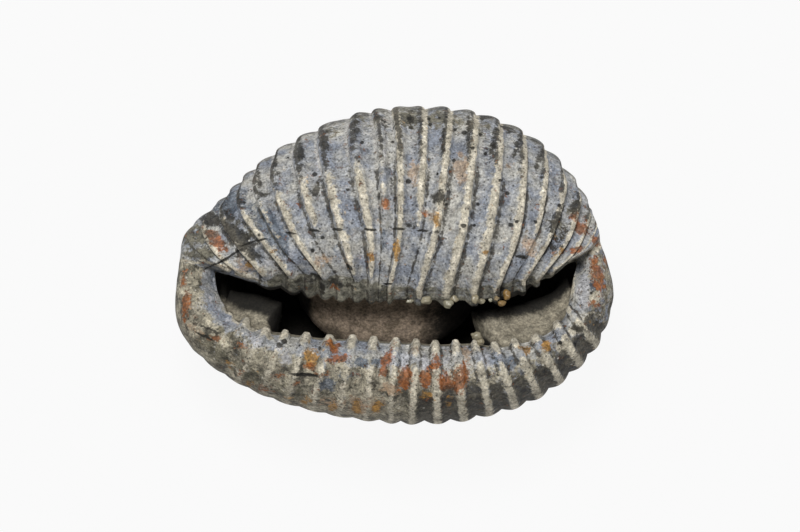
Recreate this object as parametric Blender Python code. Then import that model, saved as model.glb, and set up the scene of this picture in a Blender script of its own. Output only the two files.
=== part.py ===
# A fossil ribbed cowrie, lying on its back with its mouth upward.
#
# The shell grew as one piece, so it is one solid. Its long axis is X, with the
# narrow front end at -X. The rolled body of the shell is on the +Y side of the
# mouth and the outer lip on the -Y side. +Z points out of the mouth, and the
# worn flat on the middle of the back rests on Z = 0.
#
# The surface is one sheet, laid out as columns and rows. A column follows one
# rib: from the furrow along the middle of the back, round the flank, over the
# mouth side, in at the mouth, and round the hollow to where that ends. Body
# and lip each have their own columns, and meet at both ends of the mouth.

import math

import bmesh
import bpy
import numpy as np

MM = 0.001  # the sizes below are in millimetres, and Blender's unit is the metre

# Size of the shell, in millimetres
HALF_LENGTH = 6.0
CROWN_HEIGHT = 6.65  # highest point of the body side, above the back
LIP_HEIGHT = 6.15  # highest point of the lip
BODY_GIRTH_HEIGHT = 3.3  # height at which the body side is widest
LIP_GIRTH_HEIGHT = 3.8
BODY_END_FALL = 2.35  # how much lower the crest of the body is at its ends
LIP_END_FALL = 1.50
BODY_EDGE_FALL = 0.60  # from the crest to the edge of the mouth
LIP_EDGE_FALL = 0.60
SCOOP_FALL = 0.35  # how much further the lip falls where it scoops to a canal
CANAL_CREST = 4.40  # height of the canals at both ends of the mouth
CANAL_EDGE = 4.00  # height at which they drop into the hollow
CANAL_GIRTH = 3.90
BACK_CENTRE = (0.0, 0.25)
BACK_HALF_WIDTH = 4.3
FURROW_HALF_LENGTH = 3.7
REST_DEPTH = 0.09  # how much of the back is worn away to a flat

# Outline seen from the mouth side, from the front end of the mouth to its rear end
BODY_OUTLINE = (
    (-5.92, 0.18), (-5.86, 0.62), (-5.67, 1.01), (-4.77, 1.86), (-3.82, 2.78),
    (-2.59, 3.59), (-1.01, 4.22), (0.72, 4.40), (2.42, 4.19), (3.85, 3.51),
    (4.79, 2.62), (5.36, 1.68), (5.61, 0.70),
)
LIP_OUTLINE = (
    (-5.92, 0.18), (-6.02, -0.67), (-6.01, -1.51), (-5.65, -2.19), (-4.99, -2.84),
    (-3.77, -3.54), (-2.10, -4.06), (-0.43, -4.33), (0.99, -4.38), (2.38, -4.21),
    (3.79, -3.76), (4.87, -3.02), (5.60, -2.20), (5.92, -1.36), (6.01, -0.68),
    (5.84, 0.10), (5.61, 0.70),
)

# Points on the ribs of the body, from front to rear: where each one meets the
# edge of the mouth, where it crosses the middle of the face, and where it bows
# out most towards the ends. The first and last of a row are the mouth's ends.
BODY_FEET = (
    (-4.95, -0.14), (-4.79, -0.17), (-4.57, -0.22), (-4.21, -0.30), (-3.52, -0.40), (-2.83, -0.40),
    (-2.37, -0.41), (-1.93, -0.43), (-1.49, -0.45), (-1.05, -0.50), (-0.66, -0.56), (-0.40, -0.62),
    (-0.17, -0.67), (0.22, -0.72), (0.66, -0.74), (1.43, -0.76), (2.19, -0.73), (2.83, -0.65),
    (3.19, -0.56), (3.55, -0.45), (3.94, -0.43), (4.32, -0.23), (4.60, 0.03), (4.76, 0.11),
    (4.90, 0.15), (5.01, 0.15),
)
BODY_MIDDLES = (
    (-5.48, 0.01), (-5.37, 0.07), (-5.17, 0.21), (-4.98, 0.40), (-4.18, 0.40), (-3.55, 0.55),
    (-3.17, 0.62), (-2.72, 0.73), (-2.12, 0.87), (-1.46, 0.84), (-0.69, 0.87), (-0.29, 0.89),
    (0.11, 0.92), (0.63, 0.98), (1.13, 0.95), (1.87, 0.98), (2.61, 0.98), (3.39, 0.98),
    (3.91, 0.95), (4.27, 0.78), (4.73, 0.65), (4.98, 0.43), (5.20, 0.45), (5.31, 0.45),
    (5.37, 0.45), (5.39, 0.43),
)
BODY_BOWS = (
    (-5.83, 0.15), (-5.83, 0.34), (-5.64, 0.67), (-5.28, 1.09), (-4.79, 1.36), (-4.29, 1.67),
    (-3.85, 2.08), (-3.36, 2.35), (-2.72, 2.90), (-2.01, 3.18), (-1.16, 3.23), (-0.41, 3.43),
    (0.11, 3.23), (0.80, 3.18), (1.43, 3.18), (2.17, 3.18), (2.89, 2.96), (3.58, 2.74),
    (4.16, 2.41), (4.68, 2.08), (5.09, 1.69), (5.37, 1.33), (5.53, 1.03), (5.59, 0.84),
    (5.61, 0.70), (5.61, 0.62),
)

# The tips of the teeth on the body side lie a little way in from its edge
TOOTH_ROW = (
    (-5.94, 0.18), (-4.84, -0.15), (-4.13, -0.43), (-3.39, -0.70), (-1.93, -0.98),
    (-0.96, -1.06), (0.14, -1.11), (2.06, -1.14), (3.17, -1.00), (3.99, -0.56),
    (4.95, 0.23), (5.63, 0.70),
)

# Where the ribs of the lip meet the edge of the mouth; they run straight out from there
LIP_FEET = (
    (-4.95, -0.14), (-4.98, -0.40), (-4.90, -0.70), (-4.73, -1.03), (-4.51, -1.31), (-4.05, -1.42),
    (-3.50, -1.69), (-3.00, -1.75), (-2.42, -1.83), (-1.79, -1.89), (-1.16, -1.90), (-0.58, -1.94),
    (0.03, -1.98), (0.58, -2.01), (1.10, -2.05), (1.65, -2.04), (2.20, -2.02), (2.72, -2.09),
    (3.25, -2.00), (3.80, -1.86), (4.38, -1.53), (4.71, -1.17), (4.82, -0.78), (4.90, -0.40),
    (5.06, -0.07), (5.01, 0.15),
)
RIBS = len(BODY_FEET) - 2  # on each side, counting the faint ones at the ends
RIB_KNOTS = [0, *(np.arange(RIBS) + 0.5), RIBS]  # the number of each point in such a row
FADING_BODY_RIBS = (5, 7, 10, 12, 17)  # these die out before they reach the mouth

# Where ribs cross the outline: a rib's number, and its share of the way along
BODY_GIRTH = (  # where ribs cross the outline: a rib's number, and its share of the way along
    (0, 0), (2.5, 0.125), (5.5, 0.229), (8.5, 0.363), (9.5, 0.430), (11.5, 0.504),
    (12.5, 0.562), (17.5, 0.800), (20.5, 0.933), (RIBS, 1),
)
LIP_GIRTH = ((0, 0), (11.0, 0.458), (12.5, 0.507), (22.5, 0.911), (RIBS, 1))

# The floor of the canal at either end of the mouth, going in
FRONT_CANAL = (
    (-4.95, -0.14, 4.00), (-4.90, -0.26, 3.62), (-4.82, -0.34, 3.15), (-4.70, -0.28, 2.70),
    (-4.54, -0.04, 2.38), (-4.34, 0.32, 2.30), (-4.10, 0.74, 2.58), (-3.90, 1.08, 3.10),
)
REAR_CANAL = (
    (5.01, 0.15, 4.00), (4.94, 0.02, 3.62), (4.84, -0.08, 3.15), (4.70, -0.06, 2.70),
    (4.54, 0.08, 2.38), (4.34, 0.38, 2.30), (4.10, 0.76, 2.58), (3.90, 1.08, 3.10),
)

# Relief of the ribs and teeth: the outline above runs over their crests
BODY_RIB_HEIGHT = 0.17
LIP_RIB_HEIGHT = 0.11
FLANK_RIB_HEIGHT = 0.11  # at the outline and on the back
LIP_TOOTH_HEIGHT = 0.20
FULL_RIB_SPACING = 0.45  # where ribs stand closer than this they are lower

# The inner coil that shows through the mouth, and the pillar that it turns on
COIL_CENTRE = (-0.20, 0.15, 3.10)
COIL_HALF_LENGTH = 2.60
COIL_RADIUS = 2.60
COIL_FLATNESS = 0.54  # its thickness as a share of its width
PILLAR_RADIUS = 0.35
COIL_TURNS = (128, 150, 185, 230, 270, 310)  # where a column passes over it, in degrees
BODY_UNDERCUT = 0.35  # how far the body draws back between its teeth and the coil

# The hollow round the coil
HOLLOW_CENTRE = (0.0, 0.0, 3.05)
HOLLOW_HALF_SIZE = (5.0, 3.35, 2.35)
HOLLOW_TURNS = (190, 228, 270, 315)
HOLLOW_END_HALF_LENGTH = 3.9
HOLLOW_END_HEIGHT = 3.1

# The lip's inner wall juts into the mouth near both ends and is undercut between them
FRONT_SHELF = 0.60
REAR_SHELF = 0.80
LIP_UNDERCUT = 0.35
LIP_LEAN = (  # a rib's number, and how far its path leans to +X inside the mouth
    (0, 0), (3.4, 0), (5.0, 0.45), (5.25, 0.50), (5.75, -0.05), (6.25, 0),
    (15.5, 0), (16.25, 0.06), (16.75, -0.75), (17.5, -0.55), (19.5, 0), (RIBS, 0),
)

# How finely the sheet is divided
COLUMNS_PER_RIB = 4
BACK_ROWS = 8
FACE_ROWS = 8
HOLLOW_ROWS = 10
CURVE_STEPS = 24
WELD_DISTANCE = 0.0005


def smooth_curve(points, steps=CURVE_STEPS):
    """Points close together on a Catmull-Rom curve through the given ones."""
    given = np.array(points, float)
    padded = np.vstack([2 * given[0] - given[1], given, 2 * given[-1] - given[-2]])
    share = np.linspace(0, 1, steps, endpoint=False)[:, None]
    pieces = []
    for before, start, end, after in zip(padded, padded[1:], padded[2:], padded[3:]):
        cubic = 3 * start - 3 * end + after - before
        square = 2 * before - 5 * start + 4 * end - after
        line = end - before
        pieces.append(start + 0.5 * share * (line + share * (square + share * cubic)))
    return np.vstack(pieces + [given[-1:]])


def at_share(curve, share):
    """The point that lies the given share of the way along a curve."""
    steps = np.linalg.norm(np.diff(curve, axis=0), axis=1)
    along = np.concatenate([[0], np.cumsum(steps)])
    return np.array([np.interp(share * along[-1], along, axis) for axis in curve.T])


def at_x(curve, x):
    """The point of a curve at the given x."""
    order = np.maximum.accumulate(curve[:, 0])
    return np.array([x, np.interp(x, order, curve[:, 1])])


def ease(low, high, value):
    """0 below low, 1 above high, and a smooth step between them."""
    share = np.clip((value - low) / (high - low), 0, 1)
    return share * share * (3 - 2 * share)


class Side:
    """The body or the lip side of the mouth: its outline and the paths of its ribs."""

    def __init__(self, outline, girth, rows, is_body):
        self.outline = smooth_curve(outline)
        self.girth = np.array(girth).T
        self.rows = [smooth_curve(row) for row in rows]
        self.is_body = is_body

    def girth_point(self, rib):
        """Where a rib crosses the outline. rib runs from 0 to RIBS."""
        return at_share(self.outline, np.interp(rib, *self.girth))

    def path(self, rib):
        """The path of a rib over the face, seen in plan, from the mouth to the outline."""
        place = np.interp(rib, RIB_KNOTS, np.arange(RIBS + 2)) * CURVE_STEPS
        points = [[np.interp(place, np.arange(len(row)), axis) for axis in row.T]
                  for row in self.rows]
        return smooth_curve([*points, self.girth_point(rib)])

    def girth_height(self, x):
        """Height at which this side is widest, at x."""
        middle = BODY_GIRTH_HEIGHT if self.is_body else LIP_GIRTH_HEIGHT
        return middle + (CANAL_GIRTH - middle) * min(1, abs(x) / HALF_LENGTH) ** 3

    def crown(self, x, rib):
        """Height of this side's crest at x, sinking to the canals at both ends."""
        reach = min(1, abs(x) / HALF_LENGTH)
        if self.is_body:
            height = CROWN_HEIGHT - BODY_END_FALL * reach ** 2.6
        else:
            height = LIP_HEIGHT - LIP_END_FALL * reach ** 3
        return CANAL_CREST + (height - CANAL_CREST) * clear_of_canals(rib, 1.8)

    def edge_height(self, x, rib):
        """Height of the edge of the mouth."""
        if self.is_body:
            reach = min(1, abs(x) / HALF_LENGTH)
            fall = BODY_EDGE_FALL * (1 - 0.9 * reach ** 4)
        else:
            scoop = 1 - ease(2.5, 5.5, rib) * (1 - 0.3 * ease(RIBS - 5, RIBS - 3, rib))
            fall = LIP_EDGE_FALL + SCOOP_FALL * scoop
        height = self.crown(x, rib) - fall
        return CANAL_EDGE + (height - CANAL_EDGE) * clear_of_canals(rib, 1.5)

    def crest_share(self, rib):
        """How far out from the edge of the mouth the crest lies, as a share of the face."""
        if self.is_body:
            return 0.28 + 0.20 * (1 - clear_of_canals(rib, 2.5))
        front = 1 - ease(2.5, 5.5, rib)
        rear = ease(RIBS - 5, RIBS - 2.5, rib)
        return 0.36 + 0.40 * front + 0.16 * rear


def clear_of_canals(rib, width):
    """0 at both ends of the mouth, 1 once that many ribs away from them."""
    return ease(0, width, rib) * ease(0, width, RIBS - rib)


def furrow_x(rib):
    """Where a rib crosses the furrow along the middle of the back."""
    return FURROW_HALF_LENGTH * (2 * rib / RIBS - 1) + BACK_CENTRE[0]


def back_point(side, rib, turn):
    """A point on the back: turn runs from 0 at the furrow to 1 at the outline."""
    girth = side.girth_point(rib)
    furrow = np.array([furrow_x(rib), BACK_CENTRE[1]])
    inward = 1 - math.cos((1 - turn) * math.pi / 2)
    plan = girth + (furrow - girth) * inward

    def spread(point):
        x = (point[0] - BACK_CENTRE[0]) / HALF_LENGTH
        y = (point[1] - BACK_CENTRE[1]) / BACK_HALF_WIDTH
        return x * x + y * y

    rim = 1 + (spread(girth) - 1) * (1 - inward)
    middle = (BODY_GIRTH_HEIGHT + LIP_GIRTH_HEIGHT) / 2
    girth_height = side.girth_height(girth[0])
    height = girth_height + (middle - girth_height) * inward
    inside = max(0.0, 1 - spread(plan) / rim)
    return np.array([*plan, height * (1 - math.sqrt(inside))])


def face_points(side, rib):
    """The points of a column on the mouth side, from the outline to the mouth's edge."""
    path = side.path(rib)
    crest = side.crest_share(rib)
    edge_height = side.edge_height(path[0][0], rib)
    low = side.girth_height(path[-1][0])
    points = []
    for row in range(FACE_ROWS):
        out = 1 - row / FACE_ROWS
        share = (out - crest) / (1 - crest)
        if share > 0:
            out = crest + (1 - crest) * math.sin(share * math.pi / 2)
        x, y = at_share(path, out)
        top = side.crown(x, rib)
        if share > 0:
            height = low + (top - low) * math.cos(share * math.pi / 2)
        else:
            height = top + (edge_height - top) * (1 - out / crest) ** 2
        points.append(np.array([x, y, height]))
    return points


def coil_point(x, turn):
    """A point on the inner coil: turn is an angle in degrees, from +Y towards +Z."""
    along = min(1, abs(x - COIL_CENTRE[0]) / COIL_HALF_LENGTH)
    radius = PILLAR_RADIUS + (COIL_RADIUS - PILLAR_RADIUS) * math.sqrt(1 - along ** 2)
    angle = math.radians(turn)
    y = COIL_CENTRE[1] + radius * math.cos(angle)
    return np.array([x, y, COIL_CENTRE[2] + COIL_FLATNESS * radius * math.sin(angle)])


def wall_point(x, turn):
    """A point on the outer wall of the hollow, at an angle from +Y towards +Z."""
    half = np.array(HOLLOW_HALF_SIZE)
    narrowing = math.sqrt(max(0.0, 1 - (x / half[0]) ** 2))
    angle = math.radians(turn)
    y = HOLLOW_CENTRE[1] + half[1] * narrowing * math.cos(angle)
    return np.array([x, y, HOLLOW_CENTRE[2] + half[2] * narrowing * math.sin(angle)])


def hollow_end(rib):
    """The line, out of sight behind the coil, where the hollow ends."""
    x = HOLLOW_END_HALF_LENGTH * (2 * rib / RIBS - 1)
    return np.array([x, 2.8 - 2.4 * (x / 4.6) ** 2, HOLLOW_END_HEIGHT])


def joined_to_canal(points, rib):
    """A curve through the points, drawn over to the canal at the nearer end of the mouth."""
    canal = smooth_curve(FRONT_CANAL if rib < RIBS / 2 else REAR_CANAL)
    knots = [at_share(canal, place / (len(points) - 1)) for place in range(len(points))]
    share = clear_of_canals(rib, 2)
    return smooth_curve(np.array(knots) * (1 - share) + np.array(points) * share)


def body_hollow(rib):
    """From the body's edge of the mouth, over the inner coil, to the hollow's end."""
    side = SIDES[0]
    edge = side.path(rib)[0]
    height = side.edge_height(edge[0], rib)
    end = hollow_end(rib)
    tooth = at_x(TOOTH_LINE, edge[0])
    points = [[*edge, height], [*tooth, height - 0.50]]
    points.append([tooth[0], tooth[1] + BODY_UNDERCUT, height - 1.10])
    for turn in COIL_TURNS:
        closing = 0.8 * ease(180, 310, turn)
        points.append(coil_point(edge[0] * 0.86 * (1 - closing) + end[0] * closing, turn))
    return joined_to_canal([*points, end], rib)


def lip_hollow(rib):
    """From the lip's edge of the mouth, down its inner wall, to the hollow's end."""
    side = SIDES[1]
    x, y = side.path(rib)[0]
    height = side.edge_height(x, rib)
    front = ease(2.2, 3.4, rib) * (1 - ease(5.25, 5.75, rib))
    rear = ease(16.25, 16.75, rib) * ease(1.5, 3.5, RIBS - rib)
    jut = FRONT_SHELF * front + REAR_SHELF * rear - LIP_UNDERCUT * (1 - max(front, rear))
    lean = np.interp(rib, *np.array(LIP_LEAN).T)
    end = hollow_end(rib)
    points = [[x, y, height]]
    points.append([x, y + 0.20 * min(jut, 0), height - 0.50])
    points.append([x * 0.985 + lean, y + jut, height - 1.30])
    for turn in HOLLOW_TURNS:
        closing = 0.15 + 0.85 * ease(190, 360, turn)
        points.append(wall_point(x * 0.985 * (1 - closing) + end[0] * closing, turn))
    return joined_to_canal([*points, end], rib)


SIDES = (
    Side(BODY_OUTLINE, BODY_GIRTH, (BODY_FEET, BODY_MIDDLES, BODY_BOWS), True),
    Side(LIP_OUTLINE, LIP_GIRTH, (LIP_FEET,), False),
)
TOOTH_LINE = smooth_curve(TOOTH_ROW)


def column(side, rib):
    """One column of the sheet, as points from the furrow on the back to the hollow's end."""
    if rib in (0, RIBS):
        side = SIDES[0]  # both sides share the column that runs along each canal
    points = [back_point(side, rib, row / BACK_ROWS) for row in range(BACK_ROWS)]
    points += face_points(side, rib)
    hollow = body_hollow(rib) if side.is_body else lip_hollow(rib)
    shares = (np.arange(HOLLOW_ROWS + 1) / HOLLOW_ROWS) ** 1.35
    points += [at_share(hollow, share) for share in shares]
    return np.array(points)


def flank_rib(side, rib):
    """A rib at the outline, from 0 to 1. The body's are steep on the side away from its middle."""
    if not side.is_body:
        return math.cos(math.pi * (rib - math.floor(rib) - 0.5))
    to_rear = ease(11.6, 12.4, rib)
    front = math.sin(math.pi * ((rib - 0.38) % 1) ** 0.6)
    rear = math.sin(math.pi * ((0.50 - rib) % 1) ** 0.6)
    return front * (1 - to_rear) + rear * to_rear


def rib_relief(side, rib, row):
    """How far the sheet lies below the crests of the ribs and teeth, in a column and row."""
    round_rib = math.cos(math.pi * (rib - math.floor(rib) - 0.5))
    edge_row = BACK_ROWS + FACE_ROWS
    ends = ease(0.5, 2.5, rib) * ease(1, 4, RIBS - rib)
    worn = 1 if side.is_body else ease(9, 13, rib)  # the lip is worn smooth towards the front
    if row <= BACK_ROWS:
        back = row / BACK_ROWS
        depth = FLANK_RIB_HEIGHT * ease(0.05, 0.35, back) * (1 - (1 - worn) * ease(0.5, 1, back))
        to_outline = ease(0.4, 0.9, back)
        ridge = round_rib * (1 - to_outline) + flank_rib(side, rib) * to_outline
        return depth * ends * (1 - ridge)
    ridge = round_rib ** 3
    if row <= edge_row:
        out = (edge_row - row) / FACE_ROWS
        to_flank = ease(0.65, 0.95, out)
        ridge = ridge * (1 - to_flank) + flank_rib(side, rib) * to_flank
        if side.is_body:
            depth = BODY_RIB_HEIGHT + (FLANK_RIB_HEIGHT - BODY_RIB_HEIGHT) * to_flank
            if int(rib) in FADING_BODY_RIBS:
                ridge *= ease(0.15, 0.5, out)
        else:
            tooth = LIP_TOOTH_HEIGHT * (1 - ease(0, 0.3, out)) * ease(3, 5, RIBS - rib)
            depth = LIP_RIB_HEIGHT * ease(0.05, 0.4, out) * (1 - (1 - worn) * ease(0.4, 1, out))
            depth = (depth + tooth) * ease(2.5, 4.5, rib)
    else:
        deep = (row - edge_row) / HOLLOW_ROWS
        ends = ease(2.5, 4, rib) * ease(3, 5, RIBS - rib)
        if side.is_body:
            depth = BODY_RIB_HEIGHT * (1 - ease(0.14, 0.3, deep))
        else:
            depth = LIP_TOOTH_HEIGHT * (1 - ease(0.0, 0.16, deep))
    return depth * ends * (1 - ridge)


def rib_spacing(sheet, step, row):
    """The width of one rib in a row of a sheet, round the given column."""
    low = max(0, step - COLUMNS_PER_RIB // 2)
    high = min(len(sheet) - 1, step + COLUMNS_PER_RIB // 2)
    return np.linalg.norm(sheet[high][row] - sheet[low][row]) * COLUMNS_PER_RIB / (high - low)


def shell_stone():
    """Fossil shell: blue-grey, dull, not metallic."""
    material = bpy.data.materials.new("fossil_shell")
    material.use_nodes = True
    shader = material.node_tree.nodes["Principled BSDF"]
    shader.inputs["Base Color"].default_value = (0.27, 0.27, 0.27, 1)
    shader.inputs["Roughness"].default_value = 0.75
    shader.inputs["Metallic"].default_value = 0.0
    return material


def make_shell():
    """The shell as one closed mesh, resting on Z = 0 and centred over the origin."""
    columns = RIBS * COLUMNS_PER_RIB
    rows = BACK_ROWS + FACE_ROWS + HOLLOW_ROWS
    bm = bmesh.new()
    bmesh.ops.create_grid(bm, x_segments=2 * columns, y_segments=rows, size=1)
    sheets = [[column(side, step / COLUMNS_PER_RIB) for step in range(columns + 1)]
              for side in SIDES]
    places = {}
    for vertex in bm.verts:
        across = round((vertex.co.x + 1) * columns)
        row = round((vertex.co.y + 1) / 2 * rows)
        side = 0 if across <= columns else 1
        step = across if side == 0 else 2 * columns - across
        places[vertex.index] = (side, step, row)
        vertex.co = sheets[side][step][row]
    sinking = bm.verts.layers.float.new("sinking")
    for vertex in bm.verts:
        side, step, row = places[vertex.index]
        crowding = min(1, rib_spacing(sheets[side], step, row) / FULL_RIB_SPACING)
        vertex[sinking] = rib_relief(SIDES[side], step / COLUMNS_PER_RIB, row) * crowding
    bmesh.ops.remove_doubles(bm, verts=bm.verts, dist=WELD_DISTANCE)
    bmesh.ops.recalc_face_normals(bm, faces=bm.faces)
    bm.normal_update()
    moves = [vertex.normal * vertex[sinking] for vertex in bm.verts]
    for vertex, move in zip(bm.verts, moves):
        vertex.co -= move
    wear_flat(bm)
    bmesh.ops.triangulate(bm, faces=bm.faces)
    bmesh.ops.scale(bm, vec=(MM, MM, MM), verts=bm.verts)
    mesh = bpy.data.meshes.new("shell")
    bm.to_mesh(mesh)
    bm.free()
    mesh.shade_smooth()
    shell = bpy.data.objects.new("shell", mesh)
    shell.data.materials.append(shell_stone())
    bpy.context.scene.collection.objects.link(shell)
    return shell


def wear_flat(bm):
    """Wears the lowest part of the back to a flat, and puts the shell on it at the origin."""
    places = np.array([vertex.co for vertex in bm.verts])
    middle = (places.min(axis=0) + places.max(axis=0)) / 2
    for vertex in bm.verts:
        vertex.co.x -= middle[0]
        vertex.co.y -= middle[1]
        vertex.co.z = max(vertex.co.z, REST_DEPTH) - REST_DEPTH


def main():
    for old in list(bpy.data.objects):
        bpy.data.objects.remove(old)
    make_shell()


main()
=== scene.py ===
# %% [markdown]
# # A fossil ribbed cowrie
# The real thing is a sea shell of about a centimetre that turned to stone: blue-grey in its
# grooves, cream on its ribs, with rust, ochre and black where water ran through it. It lies on
# its back, so we look at its mouth. The solid that it must match is already there as a frame.
# We could sculpt over that solid, but a shell grows by a rule, so a formula follows it better
# and stays easy to change. This first cell loads the frame and keeps the size of its box.

# %% Load the frame
import math

import bmesh
import bpy
import numpy as np
from mathutils import Euler, Matrix, Vector, noise
from mathutils.bvhtree import BVHTree


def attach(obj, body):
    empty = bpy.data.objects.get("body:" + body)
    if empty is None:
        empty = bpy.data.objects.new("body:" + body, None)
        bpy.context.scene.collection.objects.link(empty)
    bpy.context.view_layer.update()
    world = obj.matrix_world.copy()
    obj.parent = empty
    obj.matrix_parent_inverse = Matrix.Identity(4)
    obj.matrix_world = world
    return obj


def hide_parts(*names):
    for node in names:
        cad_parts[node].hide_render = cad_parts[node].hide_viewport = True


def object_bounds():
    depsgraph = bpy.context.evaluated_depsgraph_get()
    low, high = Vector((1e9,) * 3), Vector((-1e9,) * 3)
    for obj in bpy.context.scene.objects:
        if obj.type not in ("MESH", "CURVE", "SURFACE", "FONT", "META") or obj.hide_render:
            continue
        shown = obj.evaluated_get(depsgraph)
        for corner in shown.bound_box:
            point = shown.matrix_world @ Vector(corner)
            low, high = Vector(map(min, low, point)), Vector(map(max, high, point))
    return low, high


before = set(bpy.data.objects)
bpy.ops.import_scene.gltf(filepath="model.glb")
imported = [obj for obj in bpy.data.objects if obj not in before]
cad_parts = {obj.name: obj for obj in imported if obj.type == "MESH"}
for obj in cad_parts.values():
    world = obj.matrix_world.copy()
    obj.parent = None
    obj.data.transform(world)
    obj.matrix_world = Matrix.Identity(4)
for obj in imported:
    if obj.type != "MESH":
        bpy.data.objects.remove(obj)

MM = 0.001  # sizes below are in millimetres, and Blender's unit is the metre
FRAME_LOW, FRAME_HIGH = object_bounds()
print("the solid measures", [round(side / MM, 2) for side in FRAME_HIGH - FRAME_LOW], "mm")

# %% [markdown]
# ## Curves
# Every line on the shell, from its outline to the path of a rib, runs smoothly through a few
# points measured on it. Blender's curve objects could draw such lines, but we need to ask
# them where they are at any share of their length. A Catmull-Rom curve in numpy answers that
# in three lines, and passes through each of its points.

# %% Curves through measured points
CURVE_STEPS = 24


def smooth_curve(points, steps=CURVE_STEPS):
    """Points close together on a Catmull-Rom curve through the given ones."""
    given = np.array(points, float)
    padded = np.vstack([2 * given[0] - given[1], given, 2 * given[-1] - given[-2]])
    share = np.linspace(0, 1, steps, endpoint=False)[:, None]
    pieces = []
    for before, start, end, after in zip(padded, padded[1:], padded[2:], padded[3:]):
        cubic = 3 * start - 3 * end + after - before
        square = 2 * before - 5 * start + 4 * end - after
        line = end - before
        pieces.append(start + 0.5 * share * (line + share * (square + share * cubic)))
    return np.vstack(pieces + [given[-1:]])


def at_share(curve, share):
    """The points that lie the given shares of the way along a curve."""
    steps = np.linalg.norm(np.diff(curve, axis=0), axis=1)
    along = np.concatenate([[0], np.cumsum(steps)])
    return np.stack([np.interp(share * along[-1], along, axis) for axis in curve.T], axis=-1)


def at_x(curve, x):
    """The point of a curve at the given x."""
    order = np.maximum.accumulate(curve[:, 0])
    return np.array([x, np.interp(x, order, curve[:, 1])])


def ease(low, high, value):
    """0 below low, 1 above high, and a smooth step between them."""
    share = np.clip((value - low) / (high - low), 0, 1)
    return share * share * (3 - 2 * share)


print("a curve gets", CURVE_STEPS, "points between two of the given ones")

# %% [markdown]
# ## The plan of the shell
# Seen from its mouth, the shell is an egg with a smile. The rolled body is above the smile and
# the outer lip below it. These lists hold the outline, and three points on each rib of the
# body: at the mouth, half-way, and where it bows out most. The lip's ribs run straight out,
# so they need one point each. All are in millimetres from the middle of the shell.

# %% The outline and the ribs
BODY_OUTLINE = (
    (-5.92, 0.18), (-5.86, 0.62), (-5.67, 1.01), (-4.77, 1.86), (-3.82, 2.78),
    (-2.59, 3.59), (-1.01, 4.22), (0.72, 4.40), (2.42, 4.19), (3.85, 3.51),
    (4.79, 2.62), (5.36, 1.68), (5.61, 0.70),
)
LIP_OUTLINE = (
    (-5.92, 0.18), (-6.02, -0.67), (-6.01, -1.51), (-5.65, -2.19), (-4.99, -2.84),
    (-3.77, -3.54), (-2.10, -4.06), (-0.43, -4.33), (0.99, -4.38), (2.38, -4.21),
    (3.79, -3.76), (4.87, -3.02), (5.60, -2.20), (5.92, -1.36), (6.01, -0.68),
    (5.84, 0.10), (5.61, 0.70),
)
BODY_FEET = (
    (-4.95, -0.14), (-4.79, -0.17), (-4.57, -0.22), (-4.21, -0.30), (-3.52, -0.40), (-2.83, -0.40),
    (-2.37, -0.41), (-1.93, -0.43), (-1.49, -0.45), (-1.05, -0.50), (-0.66, -0.56), (-0.40, -0.62),
    (-0.17, -0.67), (0.22, -0.72), (0.66, -0.74), (1.43, -0.76), (2.19, -0.73), (2.83, -0.65),
    (3.19, -0.56), (3.55, -0.45), (3.94, -0.43), (4.32, -0.23), (4.60, 0.03), (4.76, 0.11),
    (4.90, 0.15), (5.01, 0.15),
)
BODY_MIDDLES = (
    (-5.48, 0.01), (-5.37, 0.07), (-5.17, 0.21), (-4.98, 0.40), (-4.18, 0.40), (-3.55, 0.55),
    (-3.17, 0.62), (-2.72, 0.73), (-2.12, 0.87), (-1.46, 0.84), (-0.69, 0.87), (-0.29, 0.89),
    (0.11, 0.92), (0.63, 0.98), (1.13, 0.95), (1.87, 0.98), (2.61, 0.98), (3.39, 0.98),
    (3.91, 0.95), (4.27, 0.78), (4.73, 0.65), (4.98, 0.43), (5.20, 0.45), (5.31, 0.45),
    (5.37, 0.45), (5.39, 0.43),
)
BODY_BOWS = (
    (-5.83, 0.15), (-5.83, 0.34), (-5.64, 0.67), (-5.28, 1.09), (-4.79, 1.36), (-4.29, 1.67),
    (-3.85, 2.08), (-3.36, 2.35), (-2.72, 2.90), (-2.01, 3.18), (-1.16, 3.23), (-0.41, 3.43),
    (0.11, 3.23), (0.80, 3.18), (1.43, 3.18), (2.17, 3.18), (2.89, 2.96), (3.58, 2.74),
    (4.16, 2.41), (4.68, 2.08), (5.09, 1.69), (5.37, 1.33), (5.53, 1.03), (5.59, 0.84),
    (5.61, 0.70), (5.61, 0.62),
)
TOOTH_ROW = (
    (-5.94, 0.18), (-4.84, -0.15), (-4.13, -0.43), (-3.39, -0.70), (-1.93, -0.98),
    (-0.96, -1.06), (0.14, -1.11), (2.06, -1.14), (3.17, -1.00), (3.99, -0.56),
    (4.95, 0.23), (5.63, 0.70),
)
LIP_FEET = (
    (-4.95, -0.14), (-4.98, -0.40), (-4.90, -0.70), (-4.73, -1.03), (-4.51, -1.31), (-4.05, -1.42),
    (-3.50, -1.69), (-3.00, -1.75), (-2.42, -1.83), (-1.79, -1.89), (-1.16, -1.90), (-0.58, -1.94),
    (0.03, -1.98), (0.58, -2.01), (1.10, -2.05), (1.65, -2.04), (2.20, -2.02), (2.72, -2.09),
    (3.25, -2.00), (3.80, -1.86), (4.38, -1.53), (4.71, -1.17), (4.82, -0.78), (4.90, -0.40),
    (5.06, -0.07), (5.01, 0.15),
)
RIBS = len(BODY_FEET) - 2  # on each side, counting the faint ones at the ends
RIB_KNOTS = [0, *(np.arange(RIBS) + 0.5), RIBS]
BODY_GIRTH = (  # where ribs cross the outline: a rib's number, and its share of the way along
    (0, 0), (2.5, 0.125), (5.5, 0.229), (8.5, 0.363), (9.5, 0.430), (11.5, 0.504),
    (12.5, 0.562), (17.5, 0.800), (20.5, 0.933), (RIBS, 1),
)
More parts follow.
